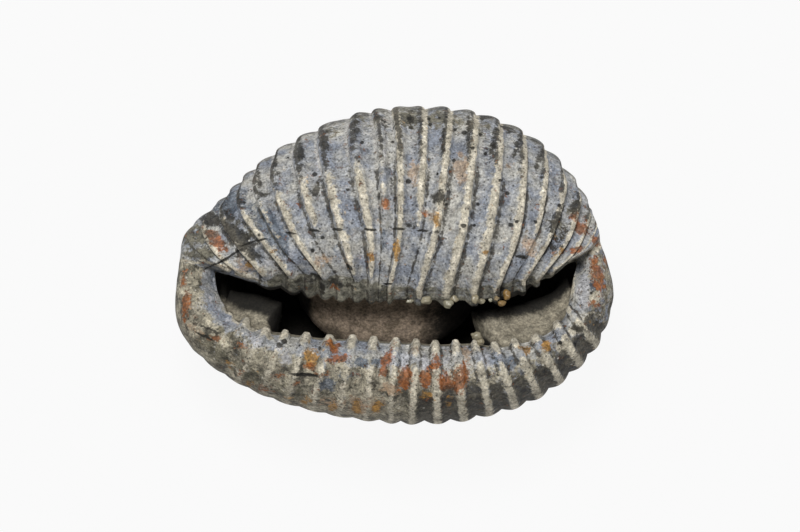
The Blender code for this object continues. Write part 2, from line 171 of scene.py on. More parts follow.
LIP_GIRTH = ((0, 0), (11.0, 0.458), (12.5, 0.507), (22.5, 0.911), (RIBS, 1))
print(RIBS, "ribs on the body and as many on the lip")

# %% [markdown]
# ## Heights
# The photo looks straight down, so heights come from shells of this kind: the body is a little
# higher than the lip, both sink to a canal at either end of the mouth, and the flank is widest
# half-way down.

# %% How high the shell is
HALF_LENGTH = 6.0
CROWN_HEIGHT = 6.65
LIP_HEIGHT = 6.15
BODY_GIRTH_HEIGHT = 3.3
LIP_GIRTH_HEIGHT = 3.8
BODY_END_FALL = 2.35  # how far the crest sinks to the ends, and below it how suddenly
BODY_END_ROUNDING = 2.6
LIP_END_FALL = 1.50
LIP_END_ROUNDING = 3
BODY_EDGE_FALL = 0.60
LIP_EDGE_FALL = 0.60
SCOOP_FALL = 0.35
SCOOP_END = (2.5, 5.5)  # the ribs of the lip's front between which its scoop ends
CANAL_CREST = 4.40  # heights of the crest, of the mouth's edge and of the flank at the canals
CANAL_EDGE = 4.00
CANAL_GIRTH = 3.90
CREST_FADE = 1.8  # over how many ribs the crest and the edge sink into a canal
EDGE_FADE = 1.5
BODY_CREST_SHARE = 0.28  # how far out from the mouth the crest lies, as a share of the face
LIP_CREST_SHARE = 0.36


def clear_of_canals(rib, width):
    """0 at both ends of the mouth, 1 once that many ribs away from them."""
    return ease(0, width, rib) * ease(0, width, RIBS - rib)


print("the body's crest is", round(CROWN_HEIGHT - LIP_HEIGHT, 2), "mm higher than the lip's")

# %% [markdown]
# ## The two sides of the mouth
# The body and the lip follow the same rules with other numbers. We could write each rule twice.
# Instead, a small class holds one side of the mouth and answers for any rib, whole or in
# between, where its path runs and how high it is.

# %% The body and the lip
class Side:
    """The body or the lip side of the mouth: its outline and the paths of its ribs."""

    def __init__(self, outline, girth, rows, is_body):
        self.outline = smooth_curve(outline)
        self.girth = np.array(girth).T
        self.rows = [smooth_curve(row) for row in rows]
        self.is_body = is_body

    def girth_point(self, rib):
        """Where a rib crosses the outline. rib runs from 0 to RIBS."""
        return at_share(self.outline, np.interp(rib, *self.girth))

    def path(self, rib):
        """The path of a rib over the face, seen in plan, from the mouth to the outline."""
        place = np.interp(rib, RIB_KNOTS, np.arange(RIBS + 2)) * CURVE_STEPS
        points = [[np.interp(place, np.arange(len(row)), axis) for axis in row.T]
                  for row in self.rows]
        return smooth_curve([*points, self.girth_point(rib)])

    def girth_height(self, x):
        """Height at which this side is widest, at x."""
        middle = BODY_GIRTH_HEIGHT if self.is_body else LIP_GIRTH_HEIGHT
        return middle + (CANAL_GIRTH - middle) * min(1, abs(x) / HALF_LENGTH) ** 3

    def crown(self, x, rib):
        """Height of this side's crest at x, sinking to the canals at both ends."""
        reach = np.minimum(1, np.abs(x) / HALF_LENGTH)
        if self.is_body:
            height = CROWN_HEIGHT - BODY_END_FALL * reach ** BODY_END_ROUNDING
        else:
            height = LIP_HEIGHT - LIP_END_FALL * reach ** LIP_END_ROUNDING
        return CANAL_CREST + (height - CANAL_CREST) * clear_of_canals(rib, CREST_FADE)

    def edge_height(self, x, rib):
        """Height of the edge of the mouth."""
        if self.is_body:
            reach = min(1, abs(x) / HALF_LENGTH)
            fall = BODY_EDGE_FALL * (1 - 0.9 * reach ** 4)
        else:
            scoop = 1 - ease(*SCOOP_END, rib) * (1 - 0.3 * ease(RIBS - 5, RIBS - 3, rib))
            fall = LIP_EDGE_FALL + SCOOP_FALL * scoop
        height = self.crown(x, rib) - fall
        return CANAL_EDGE + (height - CANAL_EDGE) * clear_of_canals(rib, EDGE_FADE)

    def crest_share(self, rib):
        """How far out from the edge of the mouth the crest lies, as a share of the face."""
        if self.is_body:
            return BODY_CREST_SHARE + 0.20 * (1 - clear_of_canals(rib, 2.5))
        front = 1 - ease(*SCOOP_END, rib)
        rear = ease(RIBS - 5, RIBS - 2.5, rib)
        return LIP_CREST_SHARE + 0.40 * front + 0.16 * rear


BODY = Side(BODY_OUTLINE, BODY_GIRTH, (BODY_FEET, BODY_MIDDLES, BODY_BOWS), True)
LIP = Side(LIP_OUTLINE, LIP_GIRTH, (LIP_FEET,), False)
print("the crest is", round(float(BODY.crown(0, RIBS / 2)), 2), "mm above the back")

# %% [markdown]
# ## One column of the sheet
# The surface is one sheet, like cloth wound round the shell. A column follows a rib: from a
# furrow on the back, round the flank, over the face, in at the mouth, over the inner coil and
# round the hollow to where that ends. Laying it out this way makes every rib a plain stripe
# of the sheet, so its relief needs only the column's number. The first stretch of a column is
# the back. It is a quarter of an ellipse from the outline in to the furrow, and low, as the
# shell lies on it.

# %% Over the back
BACK_CENTRE = (0.0, 0.25)
BACK_HALF_WIDTH = 4.3
FURROW_HALF_LENGTH = 3.7
BACK_ROWS = 38


def along_furrow(rib, half_length):
    """x of a rib on a straight line that spreads the ribs over its length."""
    return half_length * (2 * rib / RIBS - 1)


def back_spread(point):
    """How far out on the back a point lies: 0 in the middle, about 1 at the outline."""
    x = (point[..., 0] - BACK_CENTRE[0]) / HALF_LENGTH
    y = (point[..., 1] - BACK_CENTRE[1]) / BACK_HALF_WIDTH
    return x * x + y * y


def back_points(side, rib):
    """The points of a column on the back, from the furrow to just short of the outline."""
    turn = np.arange(BACK_ROWS) / BACK_ROWS
    girth = side.girth_point(rib)
    furrow = np.array([along_furrow(rib, FURROW_HALF_LENGTH), BACK_CENTRE[1]])
    inward = 1 - np.cos((1 - turn) * math.pi / 2)
    plan = girth + (furrow - girth) * inward[:, None]
    rim = 1 + (back_spread(girth) - 1) * (1 - inward)
    middle = (BODY_GIRTH_HEIGHT + LIP_GIRTH_HEIGHT) / 2
    girth_height = side.girth_height(girth[0])
    height = girth_height + (middle - girth_height) * inward
    inside = np.maximum(0, 1 - back_spread(plan) / rim)
    return np.column_stack([plan, height * (1 - np.sqrt(inside))])


furrow_height = float(back_points(BODY, RIBS / 2)[0, 2])
print("the middle of the furrow is at a height of", round(furrow_height, 2), "mm")

# %% [markdown]
# ## Over the face
# The face is what the photo shows. From the outline a column climbs the flank as a quarter of
# a circle does, runs over the crest, and rolls in towards the edge of the mouth.

# %% Over the face
FACE_ROWS = 64


def face_points(side, rib):
    """The points of a column on the mouth side, from the outline to the mouth's edge."""
    path = side.path(rib)
    crest = side.crest_share(rib)
    edge_height = side.edge_height(path[0][0], rib)
    low = side.girth_height(path[-1][0])
    out = 1 - np.arange(FACE_ROWS) / FACE_ROWS
    share = (out - crest) / (1 - crest)
    flank = np.clip(share, 0, 1) * math.pi / 2
    out = np.where(share > 0, crest + (1 - crest) * np.sin(flank), out)
    plan = at_share(path, out)
    top = side.crown(plan[:, 0], rib)
    down = low + (top - low) * np.cos(flank)
    rolled_in = top + (edge_height - top) * (1 - np.minimum(out / crest, 1)) ** 2
    return np.column_stack([plan, np.where(share > 0, down, rolled_in)])


flank_height = float(face_points(BODY, RIBS / 2)[0, 2])
print("the body's flank starts at a height of", round(flank_height, 2), "mm")

# %% [markdown]
# ## The coil and the hollow
# Through the mouth we see the last whorl inside: a coil shaped like a lemon, wound round a
# pillar. Round it is the hollow where the animal lived. Both are ellipsoids that a point walks
# round by an angle, from +Y towards +Z. Spheres of their own would have to be joined to the
# shell by a boolean, so the sheet itself runs over them instead. Out of sight behind the coil
# the hollow ends in a line.

# %% The inner coil and the hollow
COIL_CENTRE = (-0.20, 0.15, 3.10)
COIL_HALF_LENGTH = 2.60
COIL_RADIUS = 2.60
COIL_FLATNESS = 0.54
PILLAR_RADIUS = 0.35
HOLLOW_CENTRE = (0.0, 0.0, 3.05)
HOLLOW_HALF_SIZE = (5.0, 3.35, 2.35)
HOLLOW_END_HALF_LENGTH = 3.9
HOLLOW_END_HEIGHT = 3.1
HOLLOW_END_Y = 2.8  # in the middle, and the line bends down by 2.4 mm at 4.6 mm from there
HOLLOW_END_BEND = 2.4 / 4.6 ** 2


def coil_point(x, turn):
    """A point on the inner coil: turn is an angle in degrees, from +Y towards +Z."""
    along = min(1, abs(x - COIL_CENTRE[0]) / COIL_HALF_LENGTH)
    radius = PILLAR_RADIUS + (COIL_RADIUS - PILLAR_RADIUS) * math.sqrt(1 - along ** 2)
    angle = math.radians(turn)
    y = COIL_CENTRE[1] + radius * math.cos(angle)
    return np.array([x, y, COIL_CENTRE[2] + COIL_FLATNESS * radius * math.sin(angle)])


def wall_point(x, turn):
    """A point on the outer wall of the hollow, at an angle from +Y towards +Z."""
    half = np.array(HOLLOW_HALF_SIZE)
    narrowing = math.sqrt(max(0.0, 1 - (x / half[0]) ** 2))
    angle = math.radians(turn)
    y = HOLLOW_CENTRE[1] + half[1] * narrowing * math.cos(angle)
    return np.array([x, y, HOLLOW_CENTRE[2] + half[2] * narrowing * math.sin(angle)])


def hollow_end(rib):
    """The line, out of sight behind the coil, where the hollow ends."""
    x = along_furrow(rib, HOLLOW_END_HALF_LENGTH)
    return np.array([x, HOLLOW_END_Y - HOLLOW_END_BEND * x ** 2, HOLLOW_END_HEIGHT])


print("the coil is", 2 * COIL_HALF_LENGTH, "mm long and", 2 * COIL_RADIUS, "mm wide")

# %% [markdown]
# ## The canals
# At both ends of the mouth a narrow canal let water in and out. There the columns of the body
# and of the lip must meet, or the sheet would have a slit. So each column is mixed with the
# canal's line, the more the nearer it is, and at the very end it is the canal's line.

# %% The canals at both ends
FRONT_CANAL = (
    (-4.95, -0.14, 4.00), (-4.90, -0.26, 3.62), (-4.82, -0.34, 3.15), (-4.70, -0.28, 2.70),
    (-4.54, -0.04, 2.38), (-4.34, 0.32, 2.30), (-4.10, 0.74, 2.58), (-3.90, 1.08, 3.10),
)
REAR_CANAL = (
    (5.01, 0.15, 4.00), (4.94, 0.02, 3.62), (4.84, -0.08, 3.15), (4.70, -0.06, 2.70),
    (4.54, 0.08, 2.38), (4.34, 0.38, 2.30), (4.10, 0.76, 2.58), (3.90, 1.08, 3.10),
)
CANAL_REACH = 2  # how many ribs away a canal still draws a column in


def canal_points(canal, count):
    """A canal's line as that many points, so that it can be mixed with any column."""
    return at_share(smooth_curve(canal), np.arange(count) / (count - 1))


def joined_to_canal(points, rib):
    """A curve through the points, drawn over to the canal at the nearer end of the mouth."""
    canal = canal_points(FRONT_CANAL if rib < RIBS / 2 else REAR_CANAL, len(points))
    share = clear_of_canals(rib, CANAL_REACH)
    return smooth_curve(canal * (1 - share) + np.array(points) * share)


print("the canals are", REAR_CANAL[0][0] - FRONT_CANAL[0][0], "mm apart")

# %% [markdown]
# ## In at the mouth
# On the body's side a column turns in under the edge and runs over the coil. On the lip's side
# it runs down the inner wall, where the real shell has a shelf at the front and one at the
# rear, and is undercut between them. LIP_LEAN slants the ends of the shelves as the photo
# shows them.

# %% In at the mouth
TOOTH_LINE = smooth_curve(TOOTH_ROW)
BODY_DROPS = (0.50, 1.10)  # how far below the edge the first two points inside lie
BODY_UNDERCUT = 0.35
COIL_TURNS = (128, 150, 185, 230, 270, 310)  # in degrees, from +Y towards +Z
COIL_NARROWING = 0.86
LIP_DROPS = (0.50, 1.30)
LIP_UNDERCUT = 0.35
HOLLOW_TURNS = (190, 228, 270, 315)
HOLLOW_NARROWING = 0.985
FRONT_SHELF = 0.60  # how far the shelves jut out, and the ribs where each starts and ends
FRONT_SHELF_START, FRONT_SHELF_END = (2.2, 3.4), (5.25, 5.75)
REAR_SHELF = 0.80
REAR_SHELF_START, REAR_SHELF_END = (16.25, 16.75), (1.5, 3.5)  # its end counts from the last rib
LIP_LEAN = (  # a rib's number, and how far its path leans to +X inside the mouth
    (0, 0), (3.4, 0), (5.0, 0.45), (5.25, 0.50), (5.75, -0.05), (6.25, 0),
    (15.5, 0), (16.25, 0.06), (16.75, -0.75), (17.5, -0.55), (19.5, 0), (RIBS, 0),
)


def body_hollow(rib):
    """From the body's edge of the mouth, over the inner coil, to the hollow's end."""
    edge = BODY.path(rib)[0]
    height = BODY.edge_height(edge[0], rib)
    end = hollow_end(rib)
    tooth = at_x(TOOTH_LINE, edge[0])
    points = [[*edge, height], [*tooth, height - BODY_DROPS[0]]]
    points.append([tooth[0], tooth[1] + BODY_UNDERCUT, height - BODY_DROPS[1]])
    for turn in COIL_TURNS:
        closing = 0.8 * ease(180, 310, turn)
        x = edge[0] * COIL_NARROWING * (1 - closing) + end[0] * closing
        points.append(coil_point(x, turn))
    return joined_to_canal([*points, end], rib)


def lip_hollow(rib):
    """From the lip's edge of the mouth, down its inner wall, to the hollow's end."""
    x, y = LIP.path(rib)[0]
    height = LIP.edge_height(x, rib)
    front = ease(*FRONT_SHELF_START, rib) * (1 - ease(*FRONT_SHELF_END, rib))
    rear = ease(*REAR_SHELF_START, rib) * ease(*REAR_SHELF_END, RIBS - rib)
    jut = FRONT_SHELF * front + REAR_SHELF * rear - LIP_UNDERCUT * (1 - max(front, rear))
    lean = np.interp(rib, *np.array(LIP_LEAN).T)
    end = hollow_end(rib)
    points = [[x, y, height]]
    points.append([x, y + 0.20 * min(jut, 0), height - LIP_DROPS[0]])
    points.append([x * HOLLOW_NARROWING + lean, y + jut, height - LIP_DROPS[1]])
    for turn in HOLLOW_TURNS:
        closing = 0.15 + 0.85 * ease(190, 360, turn)
        wall_x = x * HOLLOW_NARROWING * (1 - closing) + end[0] * closing
        points.append(wall_point(wall_x, turn))
    return joined_to_canal([*points, end], rib)


print("the shelves jut out by", FRONT_SHELF, "and", REAR_SHELF, "mm")

# %% [markdown]
# ## All columns side by side
# Fourteen columns to a rib are enough to round it. The rows inside the hollow stand closer
# near the mouth, where they are seen.

# %% The sheet of points
COLUMNS_PER_RIB = 14
HOLLOW_ROWS = 42
HOLLOW_CROWDING = 1.35
COLUMNS = RIBS * COLUMNS_PER_RIB
ROWS = BACK_ROWS + FACE_ROWS + HOLLOW_ROWS
RIB_OF_COLUMN = np.arange(COLUMNS + 1) / COLUMNS_PER_RIB


def column(side, rib):
    """One column of the sheet, as points from the furrow on the back to the hollow's end."""
    if rib in (0, RIBS):
        side = BODY  # both sides share the column that runs along each canal
    hollow = body_hollow(rib) if side.is_body else lip_hollow(rib)
    shares = (np.arange(HOLLOW_ROWS + 1) / HOLLOW_ROWS) ** HOLLOW_CROWDING
    return np.vstack([back_points(side, rib), face_points(side, rib), at_share(hollow, shares)])


SHEET = np.array([[column(side, rib) for rib in RIB_OF_COLUMN] for side in (BODY, LIP)])
print("the sheet has", SHEET.shape[0] * SHEET.shape[1], "columns of", SHEET.shape[2], "points")

# %% [markdown]
# ## Where each point lies on the ribs
# The relief and the colours both ask the same things of a point of the sheet: which rib it is
# on, how far it is from that rib's crest, and how far out or deep it lies. We work these out
# once, as arrays that have a number for each point of one side.

# %% Each point's place on the ribs
RIB, ROW = np.meshgrid(RIB_OF_COLUMN, np.arange(ROWS + 1), indexing="ij")
EDGE_ROW = BACK_ROWS + FACE_ROWS
BACK = np.clip(ROW / BACK_ROWS, 0, 1)  # 0 at the furrow, 1 at the outline
OUT = np.clip((EDGE_ROW - ROW) / FACE_ROWS, 0, 1)  # 1 at the outline, 0 at the mouth
DEEP = np.clip((ROW - EDGE_ROW) / HOLLOW_ROWS, 0, 1)  # 1 where the hollow ends
PHASE = RIB - np.minimum(np.floor(RIB), RIBS - 1) - 0.5  # 0 on a crest, half in a groove
MIDDLE_RIB = 12
OUTER = PHASE * np.where(RIB < MIDDLE_RIB, -1, 1)  # above 0 on a rib's side away from the middle
REAR_HALF = ease(11.6, 12.4, RIB)  # 0 on the front half of the ribs, 1 on the rear half
WHOLE_EDGE = ease(9.5, 11.5, RIB)  # 0 where the front half of the body's edge is broken
print("a rib is", COLUMNS_PER_RIB, "columns wide, and the middle one is number", MIDDLE_RIB)

# %% [markdown]
# ## The shape of a rib
# Each rib is a worn cord: flat on top, with a steep side away from the middle of the shell. A
# few die out before they reach the mouth. At the outline the ribs are steps, like the tiles of
# a roof. That is what makes the outline a saw and not a wave.

# %% The shape of a rib
FADING_BODY_RIBS = (5, 7, 10, 12, 17)  # these die out before they reach the mouth
FRONT_NOTCH = 0.38  # where a step starts, as a share of a rib, in each half of the shell
REAR_NOTCH = 0.50
STEP_BULGE = 0.6  # below 1, a step rises faster than it sinks


def cord(phase, half_width, softness):
    """1 on top of a rib and 0 beside it, with a worn shoulder between."""
    return 1 - ease(half_width - softness, half_width + softness, np.abs(phase))


def fading(first, last):
    """Which ribs of the body die out, and where on their way to the mouth."""
    dying = np.isin(np.floor(RIB), FADING_BODY_RIBS)
    return np.where(dying, ease(first, last, OUT), 1)


def rib_crests(side):
    """How much of a rib's crest there is at each point of the sheet, from 0 to 1."""
    if side.is_body:
        return (1 - ease(0.08, 0.22, OUTER)) * (1 - ease(0.10, 0.42, -OUTER)) * fading(0.15, 0.5)
    return cord(PHASE, 0.20, 0.10)


def steep_sided(notch, outward):
    """Ribs that rise steeply just past a notch and sink slowly to the next one."""
    past = np.mod(outward * (RIB - notch), 1)
    return np.sin(math.pi * past ** STEP_BULGE)


def flank_ribs(side):
    """The ribs at the outline, whose steep sides face away from the shell's middle."""
    if not side.is_body:
        return np.cos(math.pi * PHASE)
    front, rear = steep_sided(FRONT_NOTCH, 1), steep_sided(REAR_NOTCH, -1)
    return front * (1 - REAR_HALF) + rear * REAR_HALF


print(len(FADING_BODY_RIBS), "ribs of the body die out before the mouth")

# %% [markdown]
# ## How deep the grooves are
# The sheet so far runs over the crests of the ribs. Between them it sinks by a tenth of a
# millimetre or so. A displacement modifier with a picture could do that, but the mesh itself
# should hold the ribs, so we move the points themselves. Ribs are lower where they crowd
# together, and the front half of the lip is worn almost smooth.

# %% The relief of the ribs
BODY_RIB_HEIGHT = 0.17
LIP_RIB_HEIGHT = 0.11
FLANK_RIB_HEIGHT = 0.11
LIP_TOOTH_HEIGHT = 0.20
FULL_RIB_SPACING = 0.45  # where ribs stand closer than this they are lower
WORN_SHARE = 0.35  # what is left of the ribs on the front half of the lip


def body_relief(crests, ridge, to_flank):
    """The body's grooves on its face and just inside the mouth."""
    height = BODY_RIB_HEIGHT + (FLANK_RIB_HEIGHT - BODY_RIB_HEIGHT) * to_flank
    lobes = np.cos(math.pi * PHASE)
    crests = lobes + (crests - lobes) * WHOLE_EDGE
    hollow = BODY_RIB_HEIGHT * (1 - ease(0.14, 0.3, DEEP)) * (1 - crests)
    return height * (1 - ridge), hollow


def lip_relief(crests, ridge, worn):
    """The lip's grooves on its face, with the teeth at its edge, and just inside the mouth."""
    tooth = LIP_TOOTH_HEIGHT * (1 - ease(0, 0.3, OUT)) * ease(3, 5, RIBS - RIB)
    height = LIP_RIB_HEIGHT * ease(0.05, 0.4, OUT) * (1 - (1 - worn) * ease(0.4, 1, OUT))
    hollow = LIP_TOOTH_HEIGHT * (1 - ease(0.0, 0.16, DEEP)) * (1 - crests)
    return (height + tooth) * ease(2.5, 4.5, RIB) * (1 - ridge), hollow


def rib_relief(side):
    """How far each point of the sheet lies below the crests of the ribs and teeth."""
    ends = ease(0.5, 2.5, RIB) * ease(1, 4, RIBS - RIB)
    hollow_ends = ease(2.5, 4, RIB) * ease(3, 5, RIBS - RIB)
    crests = rib_crests(side)
    flank = flank_ribs(side)
    to_flank = ease(0.65, 0.95, OUT)
    ridge = crests * (1 - to_flank) + flank * to_flank
    to_back = 1 - ease(0.4, 0.9, BACK)
    back = np.cos(math.pi * PHASE) * to_back + flank * (1 - to_back)
    worn = 1 if side.is_body else WORN_SHARE + (1 - WORN_SHARE) * ease(9, 13, RIB)
    back = FLANK_RIB_HEIGHT * ease(0.05, 0.35, BACK) * (1 - back)
    back = back * (1 - (1 - worn) * ease(0.5, 1, BACK))
    if side.is_body:
        face, hollow = body_relief(crests, ridge, to_flank)
    else:
        face, hollow = lip_relief(crests, ridge, worn)
    depth = np.where(ROW <= BACK_ROWS, back, np.where(ROW <= EDGE_ROW, face, 0)) * ends
    return np.where(ROW > EDGE_ROW, hollow * hollow_ends, depth)


def rib_spacing(points):
    """The width of one rib round each point of a sheet."""
    reach = COLUMNS_PER_RIB // 2
    low = np.maximum(0, np.arange(COLUMNS + 1) - reach)
    high = np.minimum(COLUMNS, np.arange(COLUMNS + 1) + reach)
    width = np.linalg.norm(points[high] - points[low], axis=-1)
    return width * (COLUMNS_PER_RIB / (high - low))[:, None]


RELIEF = np.array([
    rib_relief(side) * np.minimum(1, rib_spacing(points) / FULL_RIB_SPACING)
    for side, points in zip((BODY, LIP), SHEET)
])
print("the deepest groove lies", round(float(RELIEF.max()), 2), "mm below its crests")

# %% [markdown]
# ## The mesh
# create_grid makes the sheet, flat. Each of its points then goes to its place on the shell,
# and remove_doubles sews the seams: along the furrow, at both canals and at the end of the
# hollow. Each point carries its place on the sheet in an attribute, because sewing renumbers
# the points, and everything painted later is looked up by that place.

# %% Wrap the sheet round the shell
WELD_DISTANCE = 0.0005


def wrapped_sheet():
    """The closed mesh of the shell without relief, and each point's place on the sheet."""
    bm = bmesh.new()
    bmesh.ops.create_grid(bm, x_segments=2 * COLUMNS, y_segments=ROWS, size=1)
    place = bm.verts.layers.int.new("place")
    for vertex in bm.verts:
        across = round((vertex.co.x + 1) * COLUMNS)
        row = round((vertex.co.y + 1) / 2 * ROWS)
        side = 0 if across <= COLUMNS else 1
        step = across if side == 0 else 2 * COLUMNS - across
        vertex[place] = (side * (COLUMNS + 1) + step) * (ROWS + 1) + row
        vertex.co = SHEET[side][step][row]
    bmesh.ops.remove_doubles(bm, verts=bm.verts, dist=WELD_DISTANCE)
    bmesh.ops.recalc_face_normals(bm, faces=bm.faces)
    mesh = bpy.data.meshes.new("cowrie_shell")
    bm.to_mesh(mesh)
    bm.free()
    places = np.zeros(len(mesh.vertices), np.int32)
    mesh.attributes["place"].data.foreach_get("value", places)
    mesh.attributes.remove(mesh.attributes["place"])
    return mesh, places


shell_mesh, PLACE = wrapped_sheet()
print("the shell has", len(shell_mesh.vertices), "points and", len(shell_mesh.polygons), "faces")

# %% [markdown]
# ## Sink the grooves and weather the surface
# Now each point sinks along its normal: by the relief, and by soft dents that stand for a few
# million years in the ground and in the sea. The dents come from noise in two sizes. They keep
# the shell from looking turned on a lathe, without hiding its ribs.

# %% Ribs and dents
WEATHERING = ((0.9, 0.020), (0.30, 0.012))  # sizes of the dents and how deep they go


def points_of(mesh):
    """The places of a mesh's points, as an array."""
    flat = np.zeros(len(mesh.vertices) * 3, np.float32)
    mesh.vertices.foreach_get("co", flat)
    return flat.reshape(-1, 3).astype(float)


def move_points(mesh, points):
    """Puts a mesh's points where the array says."""
    mesh.vertices.foreach_set("co", points.astype(np.float32).ravel())
    mesh.update()


def sink(mesh, depth):
    """Moves each point of a mesh inward, along its normal."""
    normals = np.zeros(len(mesh.vertices) * 3, np.float32)
    mesh.vertex_normals.foreach_get("vector", normals)
    move_points(mesh, points_of(mesh) - normals.reshape(-1, 3) * depth[:, None])


def weathering(mesh):
    """How deep the sea has worn each point of a mesh, in dents of the sizes above."""
    depth = np.zeros(len(mesh.vertices))
    for size, deepest in WEATHERING:
        depth += [deepest * noise.noise(vertex.co / size) for vertex in mesh.vertices]
    return depth


dents = weathering(shell_mesh)
sink(shell_mesh, RELIEF.ravel()[PLACE] + dents)
print("the dents are up to", round(float(dents.max()), 3), "mm deep")

# %% [markdown]
# ## Size and rest
# The back is worn to a small flat that the shell lies on. A cut with a plane could make it. It
# is enough to raise the lowest points to one height. Then the mesh is laid over the box of the
# solid, so that both have the same size and place.

# %% Fit the shell to its frame
REST_DEPTH = 0.09


def fit_to_frame(mesh):
    """Wears the flat on the back and gives the mesh the box of the solid, in metres."""
    points = points_of(mesh)
    points[:, 2] = np.maximum(points[:, 2], REST_DEPTH)
    low, high = points.min(axis=0), points.max(axis=0)
    share = (points - low) / (high - low)
    move_points(mesh, np.array(FRAME_LOW) + share * np.array(FRAME_HIGH - FRAME_LOW))


fit_to_frame(shell_mesh)
shell_mesh.shade_smooth()
shell = bpy.data.objects.new("cowrie_shell", shell_mesh)
bpy.context.scene.collection.objects.link(shell)
print("the mesh has the box of the solid:", [round(side / MM, 2) for side in shell.dimensions])

# %% [markdown]
# ## Where the stains are
# A fossil's colours follow its shape: dirt and painted shade lie in the grooves, and the crests
# are rubbed pale. Other stains just lie where the shell touched something, so they are placed
# one by one.
# Painting a picture for this would need a texture. We give the points of the mesh soft
# masks instead, and the material breaks their edges up with noise. Each stain in a list has
# its place in millimetres, half its length and width, its turn in degrees, and its strength.

# %% Stains of iron: rust, ochre and tan
RUST = (
    (-4.98, 0.73, 0.36, 0.15, -50, 1), (-5.28, 1.00, 0.14, 0.08, -40, 0.6),
    (5.12, 1.14, 0.39, 0.17, -62, 0.95), (5.48, 0.67, 0.19, 0.11, -60, 0.9),
    (5.01, 0.45, 0.22, 0.11, 30, 0.8), (4.54, 0.37, 0.17, 0.11, 40, 0.5),
    (0.85, 1.47, 0.11, 0.11, 0, 0.9), (-0.30, 1.67, 0.14, 0.19, 0, 0.7),
    (-1.71, -2.19, 0.22, 0.17, 0, 0.8), (-1.60, -2.55, 0.36, 0.12, 8, 1),
    (-2.37, -2.77, 0.14, 0.19, 60, 0.7), (-0.25, -2.63, 0.47, 0.14, 70, 0.95),
    (0.25, -3.12, 0.33, 0.19, 80, 1), (0.83, -3.12, 0.30, 0.17, 90, 1),
    (1.13, -2.63, 0.25, 0.14, 90, 0.8), (1.40, -3.18, 0.28, 0.19, 90, 1),
    (1.82, -3.04, 0.41, 0.22, 80, 1), (-5.72, -1.03, 0.41, 0.11, 84, 0.95),
    (-5.81, -0.43, 0.25, 0.11, 90, 0.6), (5.56, -0.26, 0.55, 0.17, -78, 0.95),
    (5.50, -1.06, 0.17, 0.11, 0, 0.8), (5.75, 0.10, 0.22, 0.08, -75, 0.6),
    (-4.90, -2.05, 0.22, 0.11, -20, 0.6), (-4.24, -2.22, 0.11, 0.11, 0, 0.5),
    (-4.24, -2.99, 0.14, 0.11, 0, 0.5), (-3.63, -3.40, 0.22, 0.11, -20, 0.6),
    (-3.30, -3.15, 0.19, 0.14, 60, 0.4), (-2.72, -3.26, 0.11, 0.08, 0, 0.5),
    (-2.01, -2.99, 0.22, 0.08, 0, 0.4), (-1.62, -0.65, 0.17, 0.08, 0, 0.7),
)
OCHRE = (
    (-2.31, -2.52, 0.19, 0.36, -8, 1), (1.13, 1.25, 0.11, 0.22, 0, 0.9),
    (2.48, 0.34, 0.08, 0.08, 0, 0.8), (-0.66, 0.26, 0.14, 0.19, 0, 0.8),
    (0.03, 0.43, 0.11, 0.33, 0, 0.85), (-1.07, -3.95, 0.14, 0.17, 0, 0.95),
    (-0.52, -3.95, 0.14, 0.17, 0, 0.9), (-1.71, -3.92, 0.14, 0.11, 0, 0.8),
    (4.13, -2.22, 0.14, 0.17, 0, 1), (3.55, -2.27, 0.17, 0.19, 0, 0.7),
    (-3.36, 0.40, 0.08, 0.08, 0, 0.9), (-4.10, -0.07, 0.11, 0.17, 40, 0.7),
    (-1.79, -2.13, 0.22, 0.17, 0, 0.6), (0.83, -3.65, 0.17, 0.14, 0, 0.6),
    (4.54, 0.37, 0.22, 0.11, 45, 0.6), (1.51, -3.84, 0.14, 0.17, 0, 0.4),
    (-2.45, -3.76, 0.17, 0.11, 0, 0.6), (-2.94, -3.65, 0.14, 0.11, 0, 0.5),
    (-4.54, -2.77, 0.22, 0.11, -30, 0.5), (-3.99, -3.26, 0.19, 0.11, -30, 0.5),
)
TAN = (
    (1.82, 2.68, 0.19, 0.36, 0, 1), (0.52, 2.57, 0.14, 0.36, 0, 0.9),
    (3.74, 0.51, 0.25, 0.30, 0, 0.8), (1.93, -2.33, 0.14, 0.30, 0, 0.8),
    (-0.14, -3.43, 0.28, 0.17, 0, 0.8), (3.55, -2.24, 0.19, 0.19, 0, 0.5),
    (-2.06, 0.10, 0.33, 0.19, 0, 0.6), (-4.18, -0.07, 0.44, 0.17, -22, 0.6),
    (0.55, -2.33, 0.14, 0.22, 0, 0.4), (3.17, 2.82, 0.11, 0.08, 0, 0.8),
    (1.82, 3.18, 0.11, 0.08, 0, 0.7), (-0.30, 1.67, 0.17, 0.22, 0, 0.6),
    (4.13, 0.29, 0.28, 0.17, 40, 0.4), (-0.96, -3.84, 0.61, 0.22, -4, 0.6),
    (-1.79, -3.84, 0.39, 0.17, -10, 0.5), (1.02, 1.39, 0.17, 0.17, 0, 0.6),
    (-5.50, -1.78, 0.33, 0.22, -40, 0.4), (-1.38, 0.10, 0.17, 0.17, 0, 0.5),
)
print(len(RUST), "rust,", len(OCHRE), "ochre and", len(TAN), "tan stains")
